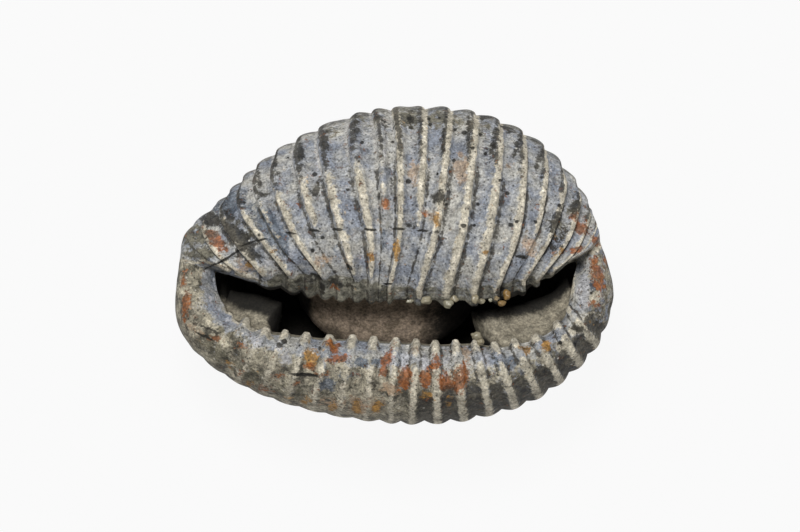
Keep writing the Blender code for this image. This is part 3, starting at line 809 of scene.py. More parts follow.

# %% [markdown]
# ## Dark stains and painted shade
# Manganese and old mud leave soot-black, slate and olive patches. Most lie in the grooves and
# along the outline. The thin soot stripes along the steep sides of the ribs near the outline are
# painted shadow, and the olive along the outline is grime and painted shade. Noise alone would put
# them anywhere, so they are lists of the same kind.

# %% Dark stains: soot, slate and olive, with painted shade
SOOT_AND_SHADOW = (
    (-4.32, 0.78, 0.70, 0.24, -48, 1), (-3.95, 0.35, 0.40, 0.16, -42, 0.9),
    (-5.12, 1.28, 0.25, 0.22, 0, 0.95), (-4.60, 1.39, 0.33, 0.17, -50, 0.7),
    (-3.61, 2.00, 0.19, 0.07, 30, 0.9), (-2.20, 2.11, 0.11, 0.22, -12, 0.9),
    (1.18, 1.86, 0.19, 0.17, 20, 1), (0.44, 1.11, 0.22, 0.11, -20, 0.7),
    (1.05, 0.87, 0.25, 0.06, 10, 0.8), (4.40, 1.20, 0.11, 0.47, -12, 0.8),
    (4.46, 0.56, 0.22, 0.14, 30, 0.8), (5.01, 1.67, 0.11, 0.19, -15, 1),
    (4.73, 1.03, 0.08, 0.33, -20, 0.6), (3.55, 0.23, 0.14, 0.06, 0, 0.9),
    # Painted shadow: the thin stripes below, along the steep sides of the ribs and along the top
    # outline.
    (-3.77, 2.35, 0.05, 0.61, 3, 0.6), (-3.28, 2.68, 0.06, 0.61, 5, 0.7),
    (-2.61, 3.12, 0.08, 0.50, 2, 0.95), (-1.93, 3.43, 0.10, 0.28, 0, 0.95),
    (-1.05, 3.87, 0.10, 0.33, 0, 0.8), (-0.33, 3.95, 0.10, 0.25, 0, 0.7),
    (-0.03, 3.95, 0.08, 0.22, 0, 0.5), (0.41, 4.00, 0.11, 0.28, 0, 0.7),
    (1.32, 3.45, 0.06, 0.72, 0, 0.6), (2.01, 3.59, 0.06, 0.61, 0, 0.7),
    (2.72, 3.45, 0.08, 0.50, -8, 0.8), (3.39, 3.37, 0.08, 0.39, -14, 0.8),
    (3.99, 2.96, 0.08, 0.39, -14, 0.7), (2.48, 4.11, 0.22, 0.07, -12, 0.8),
    (3.11, 3.81, 0.25, 0.08, -30, 0.8), (3.85, 3.43, 0.22, 0.08, -40, 0.6),
    (-0.11, 2.41, 0.08, 0.61, 2, 0.6), (-3.14, -2.19, 0.11, 0.08, 0, 0.9),
    (-2.45, -3.04, 0.39, 0.04, -2, 1), (-2.06, -2.30, 0.04, 0.22, 0, 0.7),
    (5.04, -1.75, 0.25, 0.08, -20, 0.9), (2.89, -0.78, 0.14, 0.17, 0, 1),
    (-5.17, -1.72, 0.50, 0.05, -22, 0.7), (5.28, -1.39, 0.17, 0.08, 0, 0.6),
    (-4.76, 0.10, 0.61, 0.04, 24, 0.8), (-2.28, -0.43, 0.28, 0.07, -5, 0.8),
    (-1.51, -0.54, 0.44, 0.06, -10, 1), (-2.67, -0.48, 0.17, 0.06, -5, 0.7),
    (-2.97, -0.70, 0.04, 0.19, -10, 0.7), (-2.56, -0.76, 0.06, 0.17, 0, 0.6),
    (-1.98, -0.70, 0.07, 0.22, 0, 0.8), (-1.32, -0.89, 0.06, 0.17, 0, 0.6),
    (-0.74, -0.87, 0.04, 0.17, 0, 0.5), (5.64, -1.44, 0.22, 0.14, -60, 0.4),
    (5.97, -0.95, 0.08, 0.33, 0, 0.5),
)
SLATE = (
    (-1.87, -3.32, 0.28, 0.19, -10, 1), (-0.94, -2.63, 0.19, 0.17, 0, 1),
    (-0.50, -2.63, 0.19, 0.11, 0, 0.9), (3.17, -2.66, 0.25, 0.22, -60, 0.9),
    (5.42, -0.56, 0.11, 0.17, 0, 0.9), (-3.40, 0.98, 0.85, 0.28, -56, 1),
    (-4.60, 1.75, 0.50, 0.25, 40, 0.9), (-1.84, 1.61, 0.11, 0.25, 0, 0.7),
    (0.19, 1.53, 0.11, 0.22, 0, 0.6), (-0.33, 0.70, 0.11, 0.33, 0, 0.6),
    (-1.65, 0.43, 0.11, 0.22, -20, 0.6), (5.37, -1.78, 0.25, 0.17, 50, 0.8),
    (4.54, -2.00, 0.14, 0.14, 0, 0.6), (2.78, -2.66, 0.11, 0.39, 10, 0.5),
    (-2.06, 0.70, 0.11, 0.39, -30, 0.4), (-4.10, 1.67, 0.28, 0.17, -40, 0.6),
    (-5.26, 0.65, 0.17, 0.39, 30, 0.5), (2.56, 3.18, 0.14, 0.50, 0, 0.4),
    (-0.69, 3.18, 0.11, 0.39, -8, 0.5), (-1.38, -3.01, 0.33, 0.14, 0, 0.5),
    (-2.64, -2.60, 0.14, 0.28, 0, 0.4), (4.54, -3.01, 0.14, 0.22, 40, 0.4),
    (1.84, 3.40, 0.14, 0.39, 0, 0.3),
)
# Olive grime; the patches along the outline are also painted shade, where the flank turns from the
# light.
OLIVE_AND_SHADE = (
    (-4.95, -2.33, 0.61, 0.28, -40, 0.8), (-3.99, -3.10, 0.72, 0.25, -32, 0.8),
    (-2.89, -3.56, 0.61, 0.22, -18, 0.7), (-4.68, -1.78, 0.28, 0.17, -30, 0.5),
    (-2.61, -3.56, 0.28, 0.28, 0, 0.5), (-5.50, -2.19, 0.39, 0.17, -60, 0.6),
    (-5.59, 0.80, 0.34, 0.34, 0, 0.9), (-5.37, 0.32, 0.45, 0.22, -10, 0.9),
    (-4.13, 1.11, 0.44, 0.28, -48, 0.5), (-3.99, 0.10, 0.22, 0.17, 0, 0.5),
    (1.24, 4.06, 0.72, 0.25, -4, 0.8), (0.36, 4.06, 0.39, 0.25, 0, 0.9),
    (-0.55, 4.00, 0.28, 0.22, 0, 0.6), (2.34, 3.87, 0.33, 0.22, -12, 0.7),
    (-0.96, 4.00, 0.22, 0.22, 0, 0.6), (-1.79, 3.73, 0.22, 0.22, 0, 0.6),
    (-1.38, -3.70, 0.83, 0.22, -6, 0.4), (4.54, 1.11, 0.28, 0.39, -20, 0.6),
    (4.95, 1.39, 0.22, 0.28, 0, 0.5), (-3.33, -0.56, 0.25, 0.19, 0, 0.9),
    (-2.86, -0.65, 0.25, 0.25, 0, 0.9), (-2.28, -0.70, 0.30, 0.22, 0, 1),
    (-1.65, -0.87, 0.28, 0.22, 0, 0.9), (-1.05, -0.89, 0.33, 0.22, 0, 0.8),
    (-0.36, -0.89, 0.36, 0.19, 0, 0.7), (0.41, -0.95, 0.44, 0.14, 0, 0.4),
    (5.92, -0.95, 0.11, 0.72, 0, 0.5), (5.64, -1.78, 0.14, 0.44, -30, 0.5),
    (0.69, -3.98, 1.10, 0.22, 2, 0.5),
)
print(len(SOOT_AND_SHADOW), "soot,", len(SLATE), "slate and", len(OLIVE_AND_SHADE), "olive stains")

# %% [markdown]
# ## Pale places
# Where the surface is rubbed or chipped it is pale: lilac-white in the hollows of the face, and
# cream on single ridges that stand out.

# %% Pale places
PALE = (
    (0.28, -2.60, 0.14, 0.30, 0, 0.9), (0.80, -2.60, 0.14, 0.30, 0, 0.9),
    (1.40, -2.55, 0.14, 0.28, 0, 0.6), (2.48, -2.52, 0.14, 0.33, 8, 0.9),
    (-3.00, -2.55, 0.17, 0.25, 0, 0.8), (5.17, -0.73, 0.22, 0.47, 0, 0.9),
    (-3.85, -2.08, 0.25, 0.25, 0, 0.7), (-3.22, -2.27, 0.08, 0.08, 0, 1),
    (3.22, -2.88, 0.08, 0.08, 0, 1), (-0.06, -2.66, 0.08, 0.47, -4, 0.8),
    (-2.26, -2.60, 0.07, 0.19, -8, 0.8), (-3.44, 2.63, 0.06, 0.25, 2, 0.6),
    (-2.83, 2.90, 0.07, 0.39, -4, 0.7), (-2.15, 3.15, 0.07, 0.50, -4, 0.7),
    (-1.32, 3.51, 0.06, 0.33, 0, 0.6), (-0.28, 3.32, 0.08, 0.50, -4, 0.6),
    (-3.39, 0.01, 0.25, 0.19, 0, 0.6), (-3.00, 0.29, 0.22, 0.28, -40, 0.5),
    (3.58, 0.43, 0.07, 0.07, 0, 1), (4.60, 2.82, 0.08, 0.39, 38, 0.5),
    (5.23, 1.94, 0.08, 0.39, 25, 0.5), (4.29, 2.63, 0.10, 0.39, 8, 0.5),
    (5.59, -0.89, 0.14, 0.11, 0, 0.8), (5.06, -1.94, 0.14, 0.11, 0, 0.8),
    (-5.23, -0.95, 0.33, 0.44, 0, 0.4), (-4.49, -1.44, 0.22, 0.22, -40, 0.6),
    (3.85, -0.07, 0.28, 0.14, 45, 0.4), (3.03, -0.26, 0.14, 0.33, -20, 0.4),
    (4.13, -3.23, 0.08, 0.28, 35, 0.3),
)
CREAM = (
    (-4.49, -1.28, 0.28, 0.10, -38, 1), (-4.00, -1.56, 0.24, 0.12, -15, 1),
    (-3.50, -1.83, 0.18, 0.14, -30, 1), (-4.48, -0.18, 0.95, 0.05, -20, 1),
    (-5.64, 0.10, 0.33, 0.05, -8, 0.9), (4.95, -1.78, 0.20, 0.15, -30, 1),
    (5.50, -0.90, 0.19, 0.14, 0, 0.9), (5.31, -2.19, 0.22, 0.15, 30, 0.8),
    (4.62, -2.32, 0.14, 0.30, 50, 0.8), (5.56, 0.48, 0.25, 0.10, 40, 0.8),
    (-1.90, -2.60, 0.10, 0.18, 0, 0.6), (4.85, -0.55, 0.10, 0.40, -10, 0.7),
)

print(len(PALE), "pale and", len(CREAM), "cream places")

# %% [markdown]
# ## From stains to masks
# A mask is a number from 0 to 1 at each point of the mesh. stained() turns a list of stains
# into a mask, full inside each oval and soft at its rim. paint() gives a mask to the mesh as
# an attribute, which an attribute node can read by its name.

# %% One mask for each list
STAIN_RIM = (0.2, 1.8)  # a stain is full up to the first share of its size, gone at the second


def stained(stains):
    """A mask over the sheet that is 1 in each stain's oval."""
    mask = np.zeros(RELIEF.shape)
    for x, y, length, width, turn, strength in stains:
        across = SHEET[..., 0] - x
        up = SHEET[..., 1] - y
        cos, sin = math.cos(math.radians(turn)), math.sin(math.radians(turn))
        reach = np.hypot((across * cos + up * sin) / length, (up * cos - across * sin) / width)
        mask = np.maximum(mask, strength * (1 - ease(*STAIN_RIM, reach)))
    return mask * ease(0.75, 1, BACK) * (1 - ease(0.08, 0.14, DEEP))


def paint(mesh, name, mask):
    """Gives a mesh's points the values of a mask over the sheet, or over one side for both."""
    values = np.broadcast_to(mask, RELIEF.shape).ravel()[PLACE]
    attribute = mesh.attributes.new(name, "FLOAT", "POINT")
    attribute.data.foreach_set("value", values.astype(np.float32))


for name, stains in (("rust", RUST), ("ochre", OCHRE), ("soot_and_shadow", SOOT_AND_SHADOW), ("slate", SLATE),
                     ("pale", PALE), ("tan", TAN), ("olive", OLIVE_AND_SHADE)):
    paint(shell_mesh, name, stained(stains))
print("the shell has", len(shell_mesh.attributes), "attributes with its first masks")

# %% [markdown]
# ## Pale crests, and dirt and painted shade in the grooves
# The sea rubs the crests of the ribs pale, and dirt lies along their steep sides, darkened further
# as painted shade. Both come from the same numbers as the relief, so they can't drift away from it.

# %% The colours that follow the ribs
RIB_PALENESS = {5: 0.5, 8: 0.85, 10: 0.5}  # the other ribs of the body count fully
REAR_LIP_PALENESS = 1.1
FRONT_LIP_PALENESS = 0.65
TO_FLANK = ease(0.50, 0.66, OUT)


def band(phase, centre, half_width):
    """A soft stripe along each rib."""
    return np.exp(-((phase - centre) / half_width) ** 2)


def pale_crests(side):
    """Where a side's ribs are rubbed pale."""
    if side.is_body:
        pale = band(OUTER, -0.02, 0.20 - 0.06 * ease(0.4, 0.8, OUT)) * fading(0.25, 0.45)
        pale = pale * (1 - TO_FLANK * (1 - WHOLE_EDGE))
        for rib, paleness in RIB_PALENESS.items():
            pale = np.where(np.floor(RIB) == rib, pale * paleness, pale)
        broken = (1 - ease(10, 11, RIB)) * (1 - ease(0.01, 0.07, OUT))
        return pale * ease(1.5, 2.5, RIB) * (1 - ease(0.03, 0.10, DEEP)) * (1 - broken)
    rear = 1 - ease(20.5, 22, RIB)
    front = FRONT_LIP_PALENESS * ease(4, 6, RIB)
    paleness = front + (REAR_LIP_PALENESS - front) * ease(11.5, 13.5, RIB)
    rib = paleness * band(PHASE, 0, 0.185) * ease(0.20, 0.40, OUT) * rear
    teeth = band(PHASE, 0, 0.26) * (1 - ease(0.05, 0.3, OUT)) * ease(3, 5, RIB) * rear
    return np.maximum(rib, teeth * (1 - ease(0.06, 0.12, DEEP)))


def lip_dirt_and_shade_seams():
    """Dirt and painted shade in the lip's grooves: all of it outside, only along the ribs' sides
    inside.
    """
    groove = 1 - band(PHASE, 0, 0.23)
    outer_half = ease(0.40, 0.62, OUT)
    low = 0.7 * np.maximum(band(OUTER, 0.27, 0.10), band(OUTER, -0.27, 0.09))
    low = low * ease(8, 13.5, RIB)
    dirt_and_shade = np.maximum(1.3 * groove * outer_half * ease(11.8, 13, RIB), low * (1 - outer_half))
    return dirt_and_shade * (1 - ease(20.5, 22.5, RIB)) * (1 - ease(0.10, 0.14, DEEP))


def dirt_and_shade_seams(side):
    """Dirt and painted shade along the steep side of each rib."""
    if not side.is_body:
        return lip_dirt_and_shade_seams()
    low = band(OUTER, 0.27, 0.10)
    front = 1 - REAR_HALF
    high = front * band(OUTER, -0.03, 0.12) + REAR_HALF * band(OUTER, -0.17, 0.10)
    dirt_and_shade = 0.85 * low * (1 - TO_FLANK) + (0.85 + 0.15 * front) * high * TO_FLANK
    return dirt_and_shade * ease(2, 3, RIB) * ease(2, 3, RIBS - RIB) * (1 - ease(0.14, 0.2, DEEP))


def flank_lines(side):
    """The thin pale line beside the dirt and painted shade, where a rib of the front half turns
    down the flank.
    """
    line = band(OUTER, 0.22, 0.08) * (1 - REAR_HALF) * TO_FLANK * ease(0.8, 1, BACK)
    return line * ease(4, 5, RIB) if side.is_body else 0 * line


SIDES = (BODY, LIP)
paint(shell_mesh, "line", np.array([flank_lines(side) for side in SIDES]))
print("crests cover", round(100 * float(pale_crests(BODY).mean())), "% of the body's sheet")

# %% [markdown]
# ## Crusts and painted shade
# The outer lip carries a brown crust, and under the broken edge of the body a grey-green layer
# shows, darkened further as painted shade under the overhang. Deep inside it is painted near-black
# as shade, because the render's shadow alone would leave it too light there.

# %% Crusts, and painted shade deep inside
DEEP_SHADE_EDGE = (  # x, and the y above which the shelves inside lie in darkness
    (-4.80, -0.62), (-4.27, -0.97), (-3.72, -1.10), (-3.17, -1.20), (2.34, -1.22), (3.44, -1.12),
    (3.99, -1.00), (4.54, -0.65), (4.95, -0.15),
)


def earth(side):
    """The brown and olive crust on the outer part of the lip."""
    if side.is_body:
        return np.zeros(RIB.shape)
    return ease(0.15, 0.50, OUT) * ease(0.5, 1, BACK) * (0.62 + 0.38 * (1 - ease(12, 15, RIB)))


def broken_edge_layer_and_shade(side):
    """The grey-green layer under the broken front half of the body's edge, darkened as painted
    shade under its overhang.
    """
    if not side.is_body:
        return np.zeros(RIB.shape)
    under = (1 - ease(0.0, 0.025, OUT)) * (1 - ease(0.20, 0.24, DEEP))
    return under * ease(3, 4, RIB) * (1 - 0.35 * ease(10, 12, RIB))


def deep_painted_shade(side, points):
    """Painted shade deep inside: near-black behind the shelves, and round both ends of the coil."""
    x, y = points[..., 0], points[..., 1]
    if side.is_body:
        rear = 0.55 * ease(0.2, 1.0, x) + 0.45 * ease(1.0, 1.9, x)
        dark = np.maximum(rear, 1 - ease(-2.7, -1.9, x))
    else:
        between = ease(5.0, 5.5, RIB) * (1 - ease(16.3, 16.6, RIB))
        dark = 1 - ease(-0.2, 0.8, np.interp(x, *np.array(DEEP_SHADE_EDGE).T) - y)
        dark = np.maximum(dark, between)
    return dark * ease(0.10, 0.16, DEEP)


paint(shell_mesh, "earth", np.array([earth(side) for side in SIDES]))
paint(shell_mesh, "edge", np.array([broken_edge_layer_and_shade(side) for side in SIDES]))
paint(shell_mesh, "deep_painted_shade", np.array([deep_painted_shade(side, points) for side, points in zip(SIDES, SHEET)]))
print("darkness starts at", DEEP_SHADE_EDGE[0][1], "mm at the front,", DEEP_SHADE_EDGE[-1][1], "at the rear")

# %% [markdown]
# ## The back
# On the back we want plainer ribs than on the face, so the crests, and the dirt and painted
# shade, change over to soft stripes there. The last masks tell the material which part of the
# shell a point is on; the outline mask also darkens the flank towards the outline, as grime and
# painted shade.

# %% Paint the back and the inside
BACK_CREST, BACK_CREST_WIDTH = 0.75, 0.17
# The grooves on the back are darker: dirt and painted shade.
BACK_DIRT_AND_SHADE, BACK_DIRT_AND_SHADE_WIDTH = 0.65, 0.38

behind = 1 - ease(0.45, 0.95, BACK)
crests = np.array([pale_crests(side) for side in SIDES])
back_crests = BACK_CREST * band(PHASE, 0, BACK_CREST_WIDTH) * ease(0.05, 0.3, BACK)
crests += (back_crests - crests) * behind
paint(shell_mesh, "crest", np.maximum(crests, stained(CREAM)))
dirt_and_shade = np.array([dirt_and_shade_seams(side) for side in SIDES])
dirt_and_shade += (BACK_DIRT_AND_SHADE * (1 - band(PHASE, 0, BACK_DIRT_AND_SHADE_WIDTH)) - dirt_and_shade) * behind
paint(shell_mesh, "seam_dirt_and_shade", dirt_and_shade)
paint(shell_mesh, "inside", np.array([ease(0.10, 0.20, DEEP), ease(0.30, 0.35, DEEP)]))
paint(shell_mesh, "shelf", np.array([0 * DEEP, ease(0.02, 0.07, DEEP)]))
# Grime and painted shade: darker towards the outline, where the flank turns away from the light.
paint(shell_mesh, "outline", ease(0.80, 1.0, OUT) * ease(0.5, 1, BACK))
paint(shell_mesh, "behind", behind)
print("the shell has", len(shell_mesh.attributes), "attributes with all its masks")

# %% [markdown]
# ## Nodes
# A material is a tree of nodes. Building one by clicking is easier to see, but a script can
# repeat it. We write colours as sRGB hex values, and shaders work in linear light, so one
# function converts them. Another small function adds a node, sets it up and links what goes
# into it. A socket has a name or a number. A mix node has sockets for every type of data, so
# its colours are inputs 6 and 7 and output 2. A map range's inputs are its value, the range
# that it comes from and the range that it goes to, in this order.

# %% Colours and nodes
def linear(hex_colour):
    """An sRGB hex colour as the linear RGBA that shaders work in."""
    parts = [int(hex_colour[place:place + 2], 16) / 255 for place in (1, 3, 5)]
    return (*[part / 12.92 if part <= 0.04045 else ((part + 0.055) / 1.055) ** 2.4
              for part in parts], 1)


def new_material(name):
    """An empty material with its tree of nodes and its shader."""
    material = bpy.data.materials.new(name)
    material.use_nodes = True
    return material, material.node_tree, material.node_tree.nodes["Principled BSDF"]


def add_node(tree, kind, inputs=(), **settings):
    """Adds a node with its settings, and fills its inputs with values or links."""
    node = tree.nodes.new(kind)
    for name, value in settings.items():
        setattr(node, name, value)
    for socket, value in dict(inputs).items():
        if isinstance(value, bpy.types.NodeSocket):
            tree.links.new(value, node.inputs[socket])
        else:
            node.inputs[socket].default_value = value
    return node


print("middle grey is", round(linear("#808080")[0], 3), "in linear light")

# %% [markdown]
# ## Fossil shell: its patterns
# The real surface is aragonite turned to stone, then rolled by the sea and stained by iron. To
# the eye that gives a matt, finely pitted grey with no gloss left of the living shell. Nothing
# on it repeats, so all patterns are noise in the object's own space, in millimetres. They are
# as big as on the real one: clouds of almost a millimetre, marbling of half of that, and grain
# of 0.07 mm. The real grain is finer still, and is drawn this coarse so that it shows. On the
# back, noise also decides where rust, olive and slate lie.

# %% The stone's patterns
NOISE_LOW, NOISE_HIGH = 0.40, 0.60  # most noise is in this range, which is spread from 0 to 1
PATCH_SOFTNESS = 0.12

stone, tree, shader = new_material("weathered_fossil_shell")
position = add_node(tree, "ShaderNodeTexCoord").outputs["Object"]
in_mm = add_node(tree, "ShaderNodeVectorMath", {0: position, "Scale": 1 / MM},
                 operation="SCALE").outputs[0]
noises = {}
for name, size, detail, roughness in (("cloud", 0.9, 5, 0.65), ("crumble", 0.22, 6, 0.75),
                                      ("marble", 0.45, 8, 0.75), ("patch", 1.6, 6, 0.7),
                                      ("mottle", 0.28, 6, 0.7), ("grain", 0.07, 3, 0.75)):
    noises[name] = add_node(tree, "ShaderNodeTexNoise", {
        "Vector": in_mm, "Scale": 1 / size, "Detail": detail, "Roughness": roughness})
crumbles = add_node(tree, "ShaderNodeSeparateColor", {0: noises["crumble"].outputs[1]}).outputs
masks = {name: add_node(tree, "ShaderNodeAttribute", attribute_name=name).outputs["Fac"]
         for name in ("crest", "seam_dirt_and_shade", "line", "inside", "outline", "behind", "rust", "ochre",
                      "soot_and_shadow", "slate", "pale", "tan", "olive", "earth", "edge", "shelf",
                      "deep_painted_shade")}
marbling = add_node(tree, "ShaderNodeMapRange", {
    0: noises["marble"].outputs[0], 1: NOISE_LOW, 2: NOISE_HIGH})
patches = add_node(tree, "ShaderNodeSeparateColor", {0: noises["patch"].outputs[1]}).outputs
for place, (name, rarity) in enumerate((("rust", 0.66), ("olive", 0.50), ("slate", 0.60))):
    patch = add_node(tree, "ShaderNodeMapRange", {
        0: patches[place], 1: rarity - PATCH_SOFTNESS, 2: rarity + PATCH_SOFTNESS}).outputs[0]
    patch = add_node(tree, "ShaderNodeMath", {0: patch, 1: masks["behind"]},
                     operation="MULTIPLY").outputs[0]
    masks[name] = add_node(tree, "ShaderNodeMath", {0: patch, 1: masks[name]},
                           operation="MAXIMUM").outputs[0]

print(len(noises), "noises and", len(masks), "masks")

# %% [markdown]
# ## Fossil shell: its colours
# Each stain is a layer over the last one, as on the real shell: first the grey stone, then
# the crust, the pale crests, and the dirt and painted shade along the ribs, then iron's ochre and
# rust, and soot-black manganese with painted shadow stripes on top. Along the outline the olive
# and the outline layer are grime and painted shade, the grey-green layer under the broken edge is
# also painted shade, and the near-black deep inside is painted shade. A plain mix by a soft mask
# would look airbrushed. So noise is added to the mask, and a narrow map range cuts the sum: where
# the mask is half full its edge crumbles, and where it is full the stain is whole. The marbling
# mixes the two colours of each stain.

# %% The stone's colours
EDGE_CUT = (0.32, 0.70)  # where a stain's edge starts and is full, before its raggedness
STAIN_COLOURS = (  # a mask, its two colours, how crumbled its edge is, and its strength
    ("earth", "#413d31", "#b3ab96", 1.6, 0.95),
    ("pale", "#b7b7ba", "#8f9095", 1.2, 0.75),
    ("slate", "#363f49", "#69717b", 1.5, 0.88),
    # olive grime, and painted shade where its patches lie along the outline
    ("olive", "#423f32", "#75705e", 1.5, 0.88),
    # grime and painted shade, darker towards the outline
    ("outline", "#403e36", "#6c6a60", 1.2, 0.68),
    ("line", "#b5b2ac", "#a09f9c", 1.1, 0.75),
    # grey-green layer under the broken edge, and painted shade under its overhang
    ("edge", "#45433a", "#827f70", 0.8, 0.90),
    ("crest", "#d0c8b5", "#a39c8b", 1.2, 0.92),
    # dirt and painted shade along the ribs' steep sides and in the grooves
    ("seam_dirt_and_shade", "#1f1d1a", "#4b4840", 1.7, 0.88),
    ("tan", "#b0967a", "#857361", 1.5, 0.75),
    ("ochre", "#ad803a", "#77592e", 1.5, 0.88),
    ("rust", "#9e5a24", "#4e3320", 1.7, 0.85),
    # soot stains, and painted shadow in the thin stripes along the ribs near the outline
    ("soot_and_shadow", "#1a1814", "#3a372f", 1.5, 0.90),
    ("inside", "#9c8b79", "#756858", 0.5, 1.0),
    ("shelf", "#918a79", "#787162", 0.5, 1.0),
    # painted shade: near-black deep inside the mouth
    ("deep_painted_shade", "#0b0a08", "#13110e", 0.3, 0.96),
)
colour = add_node(tree, "ShaderNodeMapRange", {
    0: noises["cloud"].outputs[0], 1: NOISE_LOW, 2: NOISE_HIGH})
colour = add_node(tree, "ShaderNodeMix", {
    0: colour.outputs[0], 6: linear("#7d828b"), 7: linear("#a6a49d")}, data_type="RGBA")
for place, (name, first, second, ragged, strength) in enumerate(STAIN_COLOURS):
    crumble = add_node(tree, "ShaderNodeMath", {
        0: crumbles[place % 3], 1: 2 * ragged, 2: masks[name]}, operation="MULTIPLY_ADD")
    mask = add_node(tree, "ShaderNodeMapRange", {
        0: crumble.outputs[0], 1: EDGE_CUT[0] + ragged, 2: EDGE_CUT[1] + ragged, 3: 0, 4: strength},
        interpolation_type="SMOOTHSTEP")
    stain = add_node(tree, "ShaderNodeMix", {
        0: marbling.outputs[0], 6: linear(first), 7: linear(second)}, data_type="RGBA")
    colour = add_node(tree, "ShaderNodeMix", {
        0: mask.outputs[0], 6: colour.outputs[2], 7: stain.outputs[2]}, data_type="RGBA")
print(len(STAIN_COLOURS), "layers of stain over the grey stone")

# %% [markdown]
# ## Pits and cracks
# Sponges and worms drilled a few larger pits, and frost cracked some crests. They are finer
# than the mesh, so each is an oval in the shader: a mapping shrinks it to a unit ball, and a
# spherical gradient is 1 at the ball's middle. The balls are tall, so the relief doesn't matter.

# %% Pits and cracks
MARKS = (  # x, y, half length and half width in millimetres, and turn in degrees
    (0.94, 4.03, 0.08, 0.07, 0), (1.21, 4.06, 0.07, 0.06, 0), (0.96, 3.87, 0.08, 0.07, 0),
    (1.65, 3.73, 0.08, 0.07, 0), (1.90, 3.65, 0.11, 0.10, 0), (2.12, 3.23, 0.08, 0.07, 0),
    (2.34, 3.59, 0.08, 0.07, 0), (2.70, 3.26, 0.10, 0.08, 0), (2.48, 3.07, 0.07, 0.06, 0),
    (1.62, 2.88, 0.07, 0.06, 0), (3.08, 1.97, 0.08, 0.07, 0), (3.17, 1.11, 0.10, 0.08, 0),
    (3.33, 1.20, 0.07, 0.06, 0), (-1.98, 0.76, 0.07, 0.06, 0), (-2.20, 2.49, 0.10, 0.08, 0),
    (0.41, 4.03, 0.11, 0.09, 0), (-3.03, -2.08, 0.11, 0.10, 0), (1.87, 1.09, 0.10, 0.08, 0),
    (-2.94, 2.96, 0.06, 0.05, 0), (-4.13, 1.72, 0.06, 0.05, 0), (-1.29, 2.08, 0.06, 0.05, 0),
    (-0.91, 3.37, 0.08, 0.07, 0), (0.36, 2.30, 0.09, 0.08, 0), (2.17, 1.09, 0.06, 0.05, 0),
    (5.39, -0.76, 0.06, 0.05, 0), (3.85, 1.20, 0.07, 0.06, 0), (1.40, 1.67, 0.06, 0.05, 0),
    (2.89, 2.33, 0.07, 0.06, 0), (-2.86, 0.89, 0.19, 0.044, -8), (-2.20, 0.95, 0.21, 0.044, -5),
    (-1.57, 0.98, 0.21, 0.048, -4), (-0.66, 0.98, 0.23, 0.048, -4), (0.11, 1.00, 0.23, 0.048, 0),
    (-4.57, 0.23, 0.54, 0.044, 30), (-3.99, 0.62, 0.33, 0.040, 20),
    (-3.66, 0.70, 0.21, 0.040, 10), (-2.48, -2.99, 0.54, 0.057, -3),
    (-1.24, -0.04, 0.17, 0.053, -50), (3.44, 0.23, 0.21, 0.053, -10),
    (-5.23, -1.94, 0.41, 0.053, -25), (0.77, 0.95, 0.21, 0.040, 0),
    (-0.19, -0.51, 0.17, 0.040, 0),
)
MARK_HEIGHT, MARK_HALF_HEIGHT = 6.5, 4.0
MARK_WOBBLE = (0.12, 0.12, 0)  # how far noise shifts a mark's rim, in millimetres
MARK_RIM = (0.12, 0.35)  # a mark starts at the first share of the way in, full at the second
MARK_STRENGTH = 0.9
PLAN_SHIFT = (0.016, -0.007)  # from the middle of the plan to that of the box

wobble = add_node(tree, "ShaderNodeVectorMath", {
    0: noises["crumble"].outputs[1], 1: (0.5, 0.5, 0.5)}, operation="SUBTRACT")
wobble = add_node(tree, "ShaderNodeVectorMath", {
    0: wobble.outputs[0], 1: MARK_WOBBLE, 2: in_mm}, operation="MULTIPLY_ADD")
marked = 0.0
for x, y, length, width, turn in MARKS:
    place = (x + PLAN_SHIFT[0], y + PLAN_SHIFT[1], MARK_HEIGHT)
    shrunk = add_node(tree, "ShaderNodeMapping", {
        "Vector": wobble.outputs[0], "Location": place, "Rotation": (0, 0, math.radians(turn)),
        "Scale": (length, width, MARK_HALF_HEIGHT)}, vector_type="TEXTURE")
    ball = add_node(tree, "ShaderNodeTexGradient", {0: shrunk.outputs[0]},
                    gradient_type="SPHERICAL")
    marked = add_node(tree, "ShaderNodeMath", {0: ball.outputs["Fac"], 1: marked},
                      operation="MAXIMUM").outputs[0]
marked = add_node(tree, "ShaderNodeMapRange", {
    0: marked, 1: MARK_RIM[0], 2: MARK_RIM[1], 3: 0, 4: MARK_STRENGTH})
colour = add_node(tree, "ShaderNodeMix", {
    0: marked.outputs[0], 6: colour.outputs[2], 7: linear("#17150f")}, data_type="RGBA")
print(len(MARKS), "pits and cracks")

# %% [markdown]
# ## Fossil shell: specks
# Dark specks are pores with dirt in them, and light ones are crystals. Voronoi cells scatter
# them: the distance to a cell's point gives a round spot, and the cell's random colour decides
# which cells have one. The inside of the shell has none.

# %% Specks of dirt and of crystal
SPECKS = (  # cell size in mm, share without one, radius, colour and strength
    (0.13, 0.42, 0.26, "#26241f", 0.75),
    (0.17, 0.80, 0.24, "#cfccc2", 0.5),
    (0.42, 0.80, 0.17, "#141310", 0.95),
)
SPECK_CORE = 0.6  # the share of a speck's radius that has its full colour

